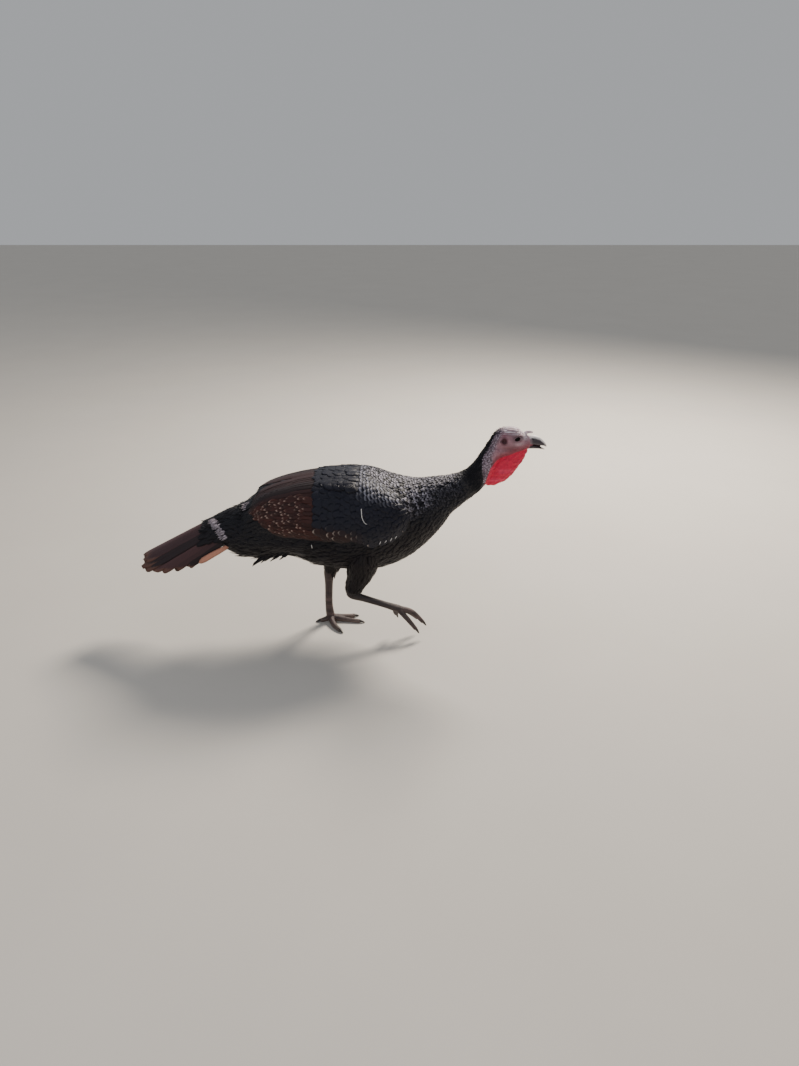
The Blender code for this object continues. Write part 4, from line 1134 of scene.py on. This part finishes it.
# Painted sheen, silvery, on the upper side of the mantle and along the top of the neck.
painted_sheen = np.clip(mantle * rng.uniform(0.3, 1.3, len(s)), 0, 1) * (rng.uniform(0, 1, len(s)) > 0.18)
painted_sheen = np.maximum(painted_sheen, on_neck * (1 - step_up(x, 0.300, 0.322)) * (rng.uniform(0, 1, len(s)) > 0.2) * (
    0.75 * hump(angle, 0, 34) + 0.28 * hump(angle, 0, 90)) * rng.uniform(0.4, 1.2, len(s)))
brown = (1 - on_neck) * (0.7 * step_up(np.abs(angle), 85, 130) + 0.3 * rng.uniform(0, 1, len(s)))
TRACTS = {
    "neck_coat": x > 0.235,
    "breast_coat": (x <= 0.235) & (x > 0.06),
    "back_coat": (x <= 0.06) & (np.abs(angle) < 95),
    "belly_coat": (x <= 0.06) & (np.abs(angle) >= 95),
}
for name, own in TRACTS.items():
    count = int(own.sum())
    loose = belly[own]
    length = gap[own] * rng.uniform(2.3, 3.0, count) * (1 + 0.5 * loose)
    piece = coat(name, on_hide(body, s[own], turn[own], rng.normal(0, 0.12, count), over_wings), length,
                 gap[own] * rng.uniform(1.35, 1.7, count) * (1 - 0.3 * loose),
                 (COAT_ROOT - tuck(s[own], turn[own]), 0.0004 + rng.uniform(-0.0004, 0.0008, count) +
                  0.0010 * loose - tuck(s[own] - length, turn[own])),
                 marked(count, brown[own], 0.0, painted_sheen[own], rng.uniform(0, 1, count)),
                 bake_spot(s[own], turn[own]), black_vane, camber=0.03,
                 blunt=np.where(loose > 0.5, 0.2, rng.uniform(0.35, 0.6, count)), uneven=0.25, ragged=0.0018,
                 roll=0.04)


# ------------------------------------------------------------------------------------------------------------
# Bristles. Hair-thin black vanes grow from the skin down the nape and over the back of the head, thin out on
# the crown, and stand in a few at the ear and before the eye.
BRISTLE_ROWS = np.array([0.0, 0.4, 0.75, 1.0])
BRISTLE_THICKNESS = 0.0003
BRISTLES_BEHIND_X, FINE_PAST_X = 0.350, 0.376  # where the head's bristles begin, and where they are finer


def on_points(points, normals, ways, bend=0.016):
    """A place function for vanes that start at points of a skin and run along it, bending with its curve."""
    side = np.cross(normals, ways)
    points, normals, ways, side = (value[:, None, None] for value in (points, normals, ways, side))

    def place(along, across, height):
        along, across, height = along[..., None], across[..., None], height[..., None]
        return points + ways * along + side * across + normals * (height - along**2 / (2 * bend))

    return place


rng = np.random.default_rng(17)
s, turn = rows_round(body, run_at(0.322), body.length - 0.001, lambda run: 0.0025, rng, jitter=0.35)
x = body_x(s)
keep = np.abs(np.degrees(turn)) < np.interp(x, *NECK_BAND) + rng.normal(0, 4, len(s))
s, turn = s[keep], turn[keep]
count = len(s)
nape = coat("nape_bristles", on_hide(body, s, turn, rng.normal(0, 0.2, count)),
            rng.uniform(0.009, 0.013, count), rng.uniform(0.0012, 0.0022, count),
            (0.0, rng.uniform(0.0004, 0.0018, count)),
            marked(count, 0.2, 0.0, 0.0, rng.uniform(0, 1, count)), bake_spot(s, turn), black_vane,
            rows=BRISTLE_ROWS, columns=3, blunt=0.2, thickness=BRISTLE_THICKNESS)

x, z, off = head_points[:, 0], head_points[:, 2], head_points[:, 1] - MIDLINE_Y
fields = (  # how many bristles, and where they grow: nape, crown, ear and lore
    (900, np.clip((0.3535 + 0.56 * (z - 0.447) - x) / 0.002, 0, 1) * (z > 0.440)),
    (70, (z > 0.474) * np.clip((0.392 - x) / 0.014, 0, 1)),
    (26, hump(x, EAR_AT[0] - 0.003, 0.003) * hump(z, EAR_AT[1] + 0.002, 0.005) * (np.abs(off) > 0.014)),
    (14, hump(x, 0.428, 0.004) * hump(z, 0.459, 0.005) * (np.abs(off) > 0.006)),
)
fields = [(number, field * (x > BRISTLES_BEHIND_X)) for number, field in fields]
chosen = np.unique(np.concatenate([rng.choice(len(x), number, p=field / field.sum())
                                   for number, field in fields]))
roots, normals, count = head_points[chosen], head_normals[chosen], len(chosen)
ways = np.array([-0.75, 0.0, -0.65]) + rng.normal(0, 0.18, (count, 3))
ways -= normals * (ways * normals).sum(1)[:, None]
ways /= np.linalg.norm(ways, axis=1)[:, None]
fine = (x[chosen] > FINE_PAST_X).astype(float)
head_bristles = coat("head_bristles", on_points(roots, normals, ways),
                     rng.uniform(0.006, 0.010, count) * (1 - 0.35 * fine),
                     rng.uniform(0.0008, 0.0014, count) * (1 - 0.6 * fine),
                     (-0.0004, rng.uniform(0.0004, 0.0016, count) + 0.0008 * fine),
                     marked(count, 0.3, 0.0, 0.0, rng.uniform(0, 1, count)),
                     ((roots[:, 0] - 0.35) / 0.1, (roots[:, 2] - 0.42) / 0.07), black_vane, rows=BRISTLE_ROWS,
                     columns=3, blunt=0.2, thickness=BRISTLE_THICKNESS)


# ------------------------------------------------------------------------------------------------------------
# Loose vanes of the belly and the flanks. Long soft feathers hang in clumps from the belly and from below the
# tail, and a fringe of narrow ones hangs from each flank.
LOOSE_VANES, HANGING_VANES = 520, 24  # on the whole belly, and on each flank
s = rng.uniform(0.012, run_at(0.055), LOOSE_VANES)
turn = np.radians(rng.choice([-1, 1], LOOSE_VANES) * rng.uniform(122, 180, LOOSE_VANES))
x = body_x(s)
hang = hump(x, -0.158, 0.026) + 0.8 * hump(x, -0.022, 0.016)
length = rng.uniform(0.024, 0.036, LOOSE_VANES) * (1 + 0.35 * hang)
hang *= step_up(np.sin(220 * s + 2.0 * np.sin(90 * s)), -0.4, 0.5) * 0.7 + 0.3  # hangs in clumps
loose_coat = coat("loose_belly_coat", on_hide(body, s, turn, rng.normal(0, 0.35, LOOSE_VANES)), length,
                  rng.uniform(0.005, 0.009, LOOSE_VANES),
                  (-0.001 - tuck(s, turn),
                   rng.uniform(-0.001, 0.002, LOOSE_VANES) + 0.0115 * hang - tuck(s - length, turn)),
                  marked(LOOSE_VANES, rng.uniform(0.1, 0.7, LOOSE_VANES), 0.0, 0.0,
                         rng.uniform(0, 1, LOOSE_VANES)),
                  bake_spot(s, turn), black_vane, camber=0.05, blunt=0.1, uneven=0.35)

# Pointed fingers hang in a fringe from the flank behind the thighs, flat to the side, longest at the back.
x = np.tile(np.linspace(-0.154, -0.080, HANGING_VANES), 2) + rng.uniform(-0.002, 0.002, 2 * HANGING_VANES)
hand = np.repeat([1.0, -1.0], HANGING_VANES)
count = len(x)
turn = np.radians(hand * rng.uniform(128, 146, count))
roots = body.place(run_at(x), turn, -0.003 - tuck(run_at(x), turn), over_wings)
ways = np.stack([rng.uniform(-0.85, -0.60, count), -0.06 * hand, rng.uniform(-0.75, -0.60, count)], 1)
ways /= np.linalg.norm(ways, axis=1)[:, None]
flat = -hand[:, None] * [0.0, 1.0, 0.0]
flat -= ways * (flat * ways).sum(1)[:, None]
long = np.interp(x, [-0.154, -0.115, -0.080], [0.037, 0.035, 0.026])
long *= 0.85 + 0.25 * np.sin(np.arange(count) * 1.9)
hanging = coat("hanging_flank_vanes", on_points(roots, flat, ways, 0.15), long,
               rng.uniform(0.0045, 0.0070, count),
               (0.0, 0.001), marked(count, 0.5, 0.0, 0.0, rng.uniform(0, 1, count)),
               (run_at(x) / body.length, 0.5 + 0.13 * hand), black_vane, camber=0.05, blunt=0.1, uneven=0.3)


# ------------------------------------------------------------------------------------------------------------
# Wings, folded against the flanks. Rounded blue-black coverts stand in rows from the shoulder back and end in
# an upright border. Behind it lie the long brown quills, the upper ones over the lower, with rows of pale
# flecks.
BORDER_X = -0.016
REAR_EDGE = ([-0.15, 0.0, 0.12, 0.28, 0.5, 0.75, 0.95],  # share and x
             [-0.146, -0.154, -0.163, -0.160, -0.153, -0.134, -0.108])
turn_grid = np.linspace(0, math.pi, 361)
hit = body.read(wing_only, body_runs[:, None], turn_grid[None, :]) > 0
has_wing = hit.any(1)
hit, wing_runs = hit[has_wing], body_runs[has_wing]
upper_edge = turn_grid[hit.argmax(1)]
lower_edge = turn_grid[len(turn_grid) - 1 - hit[:, ::-1].argmax(1)]
for _ in range(3):  # rounds the steps of the table off
    upper_edge[1:-1] = (upper_edge[:-2] + 2 * upper_edge[1:-1] + upper_edge[2:]) / 4
    lower_edge[1:-1] = (lower_edge[:-2] + 2 * lower_edge[1:-1] + lower_edge[2:]) / 4
border_run = run_at(BORDER_X)


def wing_turn(run, share):
    """Turn of a place on the right wing: share 0 at its upper edge and 1 at its lower edge."""
    top, bottom = np.interp(run, wing_runs, upper_edge), np.interp(run, wing_runs, lower_edge)
    return top + (bottom - top) * share


def rear_run(share):
    """Run of the wing's rear edge at a share, found from its place along x."""
    turn = wing_turn(wing_runs[None, :], share[:, None])
    line = body.place(wing_runs[None, :], turn, 0.0, over_wings)[..., 0]
    return np.array([np.interp(x, row, wing_runs) for x, row in zip(np.interp(share, *REAR_EDGE), line)])


def on_wing(hand, start, share):
    """A place function for vanes that run back along a wing at a share between its edges. hand is 1 for the
    right wing and -1 for the left."""
    start, share = (np.asarray(value, float)[:, None, None] for value in (start, share))

    def place(along, across, height):
        run = start - along
        held = np.clip(run, wing_runs[0], wing_runs[-1])
        turn = wing_turn(held, share)
        around = np.maximum(body.read(over_wings, held, turn * hand), 0.03)
        return body.place(run, hand * (turn + across / around), height, over_wings)

    return place


QUILLS, QUILL_WIDTH, QUILL_START = 18, 0.0240, 0.030  # the quills start this far ahead of the border
QUILL_ROWS = np.concatenate([np.linspace(0, 0.86, 14), [0.91, 0.95, 0.98, 1.0]])
for side, hand in (("right", 1), ("left", -1)):
    rng = np.random.default_rng(23)
    # Quills: start well under the coverts and end along the wing's rear edge.
    share, order = np.linspace(-0.15, 0.93, QUILLS), np.linspace(1, 0, QUILLS)
    start = border_run + QUILL_START + rng.uniform(-0.004, 0.004, QUILLS)
    rear = rear_run(share) + rng.uniform(0, 0.005, QUILLS)
    tint = 0.25 + 0.75 * step_up(share, 0.16, 0.40) + 0.32 * hump(share, -0.10, 0.09)  # redder ones on top
    marks = marked(QUILLS, tint * rng.uniform(0.8, 1.0, QUILLS), 0.0, 0.0, rng.uniform(0, 1, QUILLS))
    quills = coat(f"quills_{side}", on_wing(hand, start, share), start - rear, QUILL_WIDTH,
                  (0.0006 + 0.0008 * order, 0.0004 + 0.0010 * order), marks,
                  bake_spot(start, hand * wing_turn(start, share)), brown_vane, camber=0.030, blunt=0.86,
                  rows=QUILL_ROWS, columns=9, neck=0.6, ragged=0.006, uneven=0.04, roll=0.02, tilt=0.07)
    # Flecked coverts over the lower quills.
    runs = np.arange(wing_runs[0] + 0.036, border_run + 0.010, 0.0088)
    spots = [(run + rng.uniform(-0.002, 0.002), f + (0.035 if i % 2 else 0.0) + rng.uniform(-0.012, 0.012))
             for i, run in enumerate(runs) for f in np.arange(0.34, 0.99, 0.052)]
    start, share = np.array(spots).T
    keep = (share < 0.985) & (start > rear_run(share) + 0.030)
    start, share = start[keep], share[keep]
    count = len(start)
    dense = 0.35 + 0.85 * hump(start, border_run - 0.040, 0.050) + 0.3 * step_up(share, 0.85, 0.95)
    fleck = np.clip(rng.uniform(-0.45, 1.2, count) * dense, 0, 1)
    flecked = coat(f"flecked_coverts_{side}", on_wing(hand, start, share), rng.uniform(0.027, 0.034, count),
                   rng.uniform(0.0105, 0.0140, count), (0.0010, 0.0024 + rng.uniform(-0.0003, 0.0003, count)),
                   marked(count, 0.75 + 0.25 * rng.uniform(0, 1, count), fleck, 0.0,
                          rng.uniform(0, 1, count)),
                   bake_spot(start, hand * wing_turn(start, share)), brown_vane, camber=0.025, blunt=0.5,
                   uneven=0.25, ragged=0.0015, roll=0.03)
    # Blue-black coverts, small at the shoulder and large towards the border, with broad scapulars at the top.
    spots, run, odd = [], border_run + 0.030, 0
    while run < wing_runs[-1] - 0.002:
        gap = np.interp(run, [border_run, run_at(0.10), wing_runs[-1]], [0.0165, 0.0120, 0.0075])
        top, bottom = wing_turn(run, 0.0), wing_turn(run, 1.0)
        reach = body.read(over_wings, np.array([run]), np.array([(top + bottom) / 2 * hand]))[0]
        span = 1.17 if run < run_at(0.12) else 1.0
        number = max(int((bottom - top) * span * reach / gap), 2)
        f = (np.arange(number) + (0.5 if odd % 2 else 0.0) + 0.25) / number * span - (span - 1)
        spots.append(np.stack([run + rng.uniform(-0.1, 0.1, number) * gap,
                               f + rng.uniform(-0.08, 0.08, number) / number, np.full(number, gap),
                               np.zeros(number)], 1))
        run, odd = run + gap * 0.86, odd + 1
    broad = [(run_at(0.022 + 0.0165 * i) + 0.008 * (j % 2) + rng.uniform(-0.004, 0.004),
              -0.15 + 0.072 * j + rng.uniform(-0.02, 0.02), rng.uniform(0.017, 0.022), 1.0)
             for i in range(4) for j in range(6)]
    spots = np.concatenate([*spots, broad])
    lowest = 0.90 + 0.10 * step_up(spots[:, 0], run_at(0.085), run_at(0.120))
    start, share, gap, big = spots[spots[:, 1] < lowest].T
    count = len(start)
    # The upper front coverts carry painted sheen like the mantle's.
    front = step_up(start, run_at(0.075), run_at(0.120)) * (1 - step_up(share, 0.22, 0.42))
    low = step_up(share, 0.72, 0.84) * (1 - step_up(start, run_at(0.06), run_at(0.12)))
    end_row = 0.9 * step_up(share, 0.93, 0.99) * (rng.uniform(0, 1, count) > 0.45)
    fringe = (1 - big) * 0.6 * np.maximum(end_row, low * (rng.uniform(0, 1, count) > 0.25))
    last = 1 - step_up(start, border_run + 0.030, border_run + 0.120)  # the last rows lie over the brown ones
    raised = np.maximum(last, big)
    coverts = coat(f"coverts_{side}", on_wing(hand, start, share),
                   gap * rng.uniform(2.1, 2.4, count) * (1 - 0.25 * big),
                   gap * rng.uniform(1.7, 2.0, count) * (1 - 0.22 * big),
                   (0.0004 + 0.0014 * raised, 0.0017 + rng.uniform(-0.0002, 0.0004, count) + 0.0016 * raised +
                    big * rng.uniform(0.0, 0.0014, count)),
                   marked(count, 0.9 * low, fringe, 0.75 * front * rng.uniform(0.2, 1, count),
                          rng.uniform(0, 1, count)),
                   bake_spot(start, hand * wing_turn(start, share)), glossy_vane, camber=0.014 + 0.016 * big,
                   blunt=rng.uniform(0.4, 0.6, count), uneven=0.15, ragged=0.0015, roll=0.02,
                   thickness=0.0003)
    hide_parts(f"wing_quills_{side}")
    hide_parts(f"wing_coverts_{side}")


# ------------------------------------------------------------------------------------------------------------
# Tail. A half-closed fan of seventeen long feathers, arched like a roof: the middle one lies on top and each
# outer one under its neighbour. Brown-black, with ragged tawny ends. Coverts grow over its root.
TAIL_ROOT, TAIL_SLOPE_DEG = (-0.185, 0.310), 28.3
TAIL_REACH = [(0, 0.258), (20, 0.257), (41, 0.253), (61, 0.205), (82, 0.135)]  # turn in degrees and length
TAIL_HALF_WIDTH, TAIL_ARCH = (0.042, 0.060), (0.082, 0.100)


FAN_START = 0.045  # how far down the roof the long feathers' roots lie
FAN_TURN_DEG, FAN_VANES = 80, 17
FAN_ROWS = np.concatenate([np.linspace(0, 0.84, 16), [0.89, 0.93, 0.96, 0.98, 1.0]])
FAN_BROWN = ([0, 15, 25, 40, 52, 66, 80], [0.9, 0.9, 0.3, 0.15, 0.9, 0.9, 0.2])  # brown and dark by turns
COVERT_REACH = ([-0.014, 0.012, 0.030], [78, 70, 60])  # start down the roof, and the turn coverts grow to


def on_tail(turn, start=0.0, splay=0.0):
    """A place function on the tail's roof: down its slope from the root, and round its arch by a turn from
    the crest. The arch is an upright half ellipse that widens towards the ends."""
    turn, start, splay = (np.broadcast_to(value, np.shape(turn))[:, None, None]
                          for value in (turn, start, splay))
    slope = math.radians(TAIL_SLOPE_DEG)

    def place(along, across, height):
        down = start + along
        share = np.clip(down / TAIL_REACH[0][1], -0.2, 1.1)
        half, arch = (low + (high - low) * share for low, high in (TAIL_HALF_WIDTH, TAIL_ARCH))
        here = turn + splay * along + across / np.hypot(half * np.cos(turn), arch * np.sin(turn))
        here = np.clip(here, -1.62, 1.62)  # a little past the eaves
        half, arch = half + height, arch + height
        x = TAIL_ROOT[0] - down * math.cos(slope)
        z = TAIL_ROOT[1] - down * math.sin(slope) - (arch - height) + arch * np.cos(here)
        return np.stack([x, MIDLINE_Y - half * np.sin(here), z], -1)

    return place


rng = np.random.default_rng(31)
angle = np.linspace(-FAN_TURN_DEG, FAN_TURN_DEG, FAN_VANES)
order = 1 - np.abs(angle) / FAN_TURN_DEG
length = np.interp(np.abs(angle), *np.array(TAIL_REACH).T) + rng.uniform(-0.004, 0.003, FAN_VANES) - FAN_START
brown = np.interp(np.abs(angle), *FAN_BROWN) * rng.uniform(0.8, 1, FAN_VANES)
tail = coat("tail_fan", on_tail(0.82 * np.radians(angle), FAN_START, 0.66 * np.radians(angle)), length,
            0.034 * (1 - 0.1 * np.abs(angle) / FAN_TURN_DEG),
            (-0.0035 + 0.004 * order, -0.0035 + 0.0045 * order),
            marked(FAN_VANES, brown, 0.75, 0.0, rng.uniform(0.3, 0.8, FAN_VANES)),
            (np.full(FAN_VANES, 0.02), np.radians(angle) / (2 * math.pi) % 1.0), tail_vane, camber=0.03,
            blunt=0.88, rows=FAN_ROWS, columns=9, neck=0.8, thickness=0.0006, ragged=0.010, uneven=0.05)
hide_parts("tail")

runs, turns = [], []
for i, start in enumerate(np.arange(-0.014, 0.068, 0.0105)):
    steps = np.arange(-77, 78, 11.0) + (5.5 if i % 2 else 0.0)
    turns.append(steps + rng.uniform(-1.5, 1.5, len(steps)))
    runs.append(np.full(len(steps), start) + rng.uniform(-0.0015, 0.0015, len(steps)))
start, angle = np.concatenate(runs), np.concatenate(turns)
keep = np.abs(angle) < np.interp(start, *COVERT_REACH)
start, angle = start[keep], angle[keep]
count = len(start)
tail_coverts = coat("upper_tail_coverts", on_tail(np.radians(angle), start), rng.uniform(0.040, 0.056, count),
                    rng.uniform(0.016, 0.021, count),
                    (np.where(start < 0.005, -0.006, -0.0005), 0.0042 + rng.uniform(-0.0005, 0.0005, count)),
                    marked(count, 0.5, 0.0, 0.0, rng.uniform(0, 1, count)),
                    ((0.06 - start) * 0.9 % 1.0, np.radians(angle) / (2 * math.pi) % 1.0), black_vane,
                    camber=0.035, blunt=0.35, uneven=0.25)


# ------------------------------------------------------------------------------------------------------------
# Pale vanes of the rump and the tail. A slanting smudge of whitish down shows between the coverts on the near
# side, with a tuft of it on the rump, and the outermost vane of each side of the tail is salmon beneath.
PATCH_VANES, TUFT_VANES, SALMON_TURN_DEG, SALMON_LENGTH = 84, 14, 79.8, 0.076
# Downy and ash grey, dull, with whitish ends.
pale_vane = plumage("pale_rump_vane", "#4e454b", "#b8acb4", 0.6, 0.02, "#c6bbc2", contrast=0.8)
count = PATCH_VANES
along = (np.arange(count) + rng.uniform(0, 1, count)) / count
start = 0.070 - 0.040 * along + rng.uniform(-0.0070, 0.0070, count) * (0.6 + 0.8 * along * (1 - along))
angle = np.radians(15.0 + 52.0 * along + rng.uniform(-1.5, 1.5, count))
high = 0.0050 + 0.0038 * step_up(along, 0.2, 0.7)
pale_patch = coat("pale_patch", on_tail(angle, start, rng.uniform(-2.5, 2.5, count)),
                  rng.uniform(0.009, 0.017, count), rng.uniform(0.0024, 0.0042, count),
                  (high - 0.0015, high + 0.0014 + rng.uniform(0, 0.0008, count)),
                  marked(count, rng.uniform(0.2, 1, count), 0.6, 0.0, rng.uniform(0, 1, count)),
                  (0.5 + start, angle / (2 * math.pi)), pale_vane, camber=0.04, blunt=0.3, uneven=0.3,
                  ragged=0.004)
s = run_at(rng.uniform(-0.156, -0.143, TUFT_VANES))
turn = np.radians(rng.uniform(6, 30, TUFT_VANES))
pale_tuft = coat("pale_rump_tuft", on_hide(body, s, turn, rng.normal(0, 0.15, TUFT_VANES), over_wings),
                 rng.uniform(0.014, 0.019, TUFT_VANES), 0.0040,
                 (0.0012 - tuck(s, turn), 0.0052 - tuck(s - 0.016, turn)),
                 marked(TUFT_VANES, rng.uniform(0, 0.7, TUFT_VANES), 0.4, 0.0, rng.uniform(0, 1, TUFT_VANES)),
                 bake_spot(s, turn), pale_vane, camber=0.04, blunt=0.3, uneven=0.3)
# Warm salmon, dull and even, the brightest strip of the tail.
salmon_vane = plumage("salmon_edge_vane", "#bd8069", "#cd937c", 0.6, 0.02, "#9a6c58", contrast=0.3)
hand = np.array([-1.0, 1.0])
angle = np.radians(SALMON_TURN_DEG * hand)
salmon_edge = coat("salmon_edge", on_tail(angle, 0.032, -0.55 * hand), np.full(2, SALMON_LENGTH), 0.0165,
                   (-0.0018, -0.0006), marked(2, 0.5, 0.3, 0.0, 0.5),
                   (np.full(2, 0.5), angle / (2 * math.pi) % 1.0), salmon_vane, camber=0.04, blunt=0.8,
                   neck=0.7)


# ------------------------------------------------------------------------------------------------------------
# Stray down. A loose white plume of soft barbs, shed by another feather, hangs hooked on the near wing, and a
# few white barbs show at the wing's lower edge.
tree, shader, white = new_material(  # dull white fluff, lighter than all round it
    "white_down", Base_Color=linear("#d8d4d2"), Roughness=0.8)
PLUME = [(0.0830, 0.337), (0.0832, 0.330), (0.0842, 0.322), (0.0868, 0.314), (0.0905, 0.3085),
         (0.0945, 0.307)]
STRAYS = [[(-0.024, 0.252), (-0.0235, 0.244)], [(0.122, 0.262), (0.119, 0.256)],
          [(0.134, 0.264), (0.131, 0.258)],
          [(0.145, 0.267), (0.142, 0.261)], [(0.156, 0.271), (0.153, 0.265)]]
PLUME_RADIUS, STRAY_RADIUS, DOWN_HEIGHT = 0.0009, 0.0008, 0.0045


def flank_at(x, z):
    """Point on the near flank's coat at a place in side view, found by trying turns down the right side."""
    runs, turns = np.linspace(run_at(x) - 0.03, run_at(x) + 0.03, 61), np.radians(np.arange(5, 150, 1.0))
    run, turn = np.meshgrid(runs, turns)
    tried = body.place(run.ravel(), turn.ravel(), DOWN_HEIGHT, over_wings)
    return tried[np.argmin(np.hypot(tried[:, 0] - x, tried[:, 2] - z))]


strands = []
for line, radius in [(PLUME, PLUME_RADIUS), *((line, STRAY_RADIUS) for line in STRAYS)]:
    rows = [(*flank_at(x, z), radius * (1.0 - 0.5 * i / len(line))) for i, (x, z) in enumerate(line)]
    strands.append(tube("strand", rows, white, 10, 0.0012))
down = joined("stray_down", strands)
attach(down, "root")


# ------------------------------------------------------------------------------------------------------------
# Shin feathers. Short dark vanes grow down both shins in rows, fullest in front, and end just above the hock
# like trouser legs.
SHIN_LINES = {
    "left": [(0.002, 0.0, 0.124), (0.005, 0.0, 0.145), (0.018, -0.003, 0.172), (0.030, -0.006, 0.215),
             (0.036, -0.008, 0.235)],
    "right": [(0.056, -0.080, 0.114), (0.060, -0.079, 0.133), (0.072, -0.078, 0.158), (0.082, -0.074, 0.205),
              (0.086, -0.072, 0.225)],
}
for side, line in SHIN_LINES.items():
    shin = Hide(line, [f"shin_{side}"], 0.003, 3)
    shin.reach = np.maximum.accumulate(shin.reach, axis=0)  # stays full where it runs into the body
    rng = np.random.default_rng(41)
    s, turn = rows_round(shin, 0.010, shin.length, lambda run: min(0.0068 + 0.05 * run, 0.0095), rng)
    size = np.minimum(0.0068 + 0.05 * s, 0.0095)
    full = 0.0050 * hump(s, 0.022, 0.016) * (0.5 - 0.5 * np.cos(turn))  # fullest in front, over the hock
    count = len(s)
    shin_coat = coat(f"shin_coat_{side}", on_hide(shin, s, turn, rng.normal(0, 0.12, count)),
                     size * rng.uniform(2.0, 2.5, count), size * rng.uniform(1.0, 1.3, count),
                     (full - 0.0022, full + 0.0004 + rng.uniform(0, 0.001, count)),
                     marked(count, 1.0, 0.0, 0.0, rng.uniform(0, 1, count)),
                     (s * 1.4 + 0.01, turn / (2 * math.pi) % 1.0), black_vane, camber=0.03, blunt=0.3)
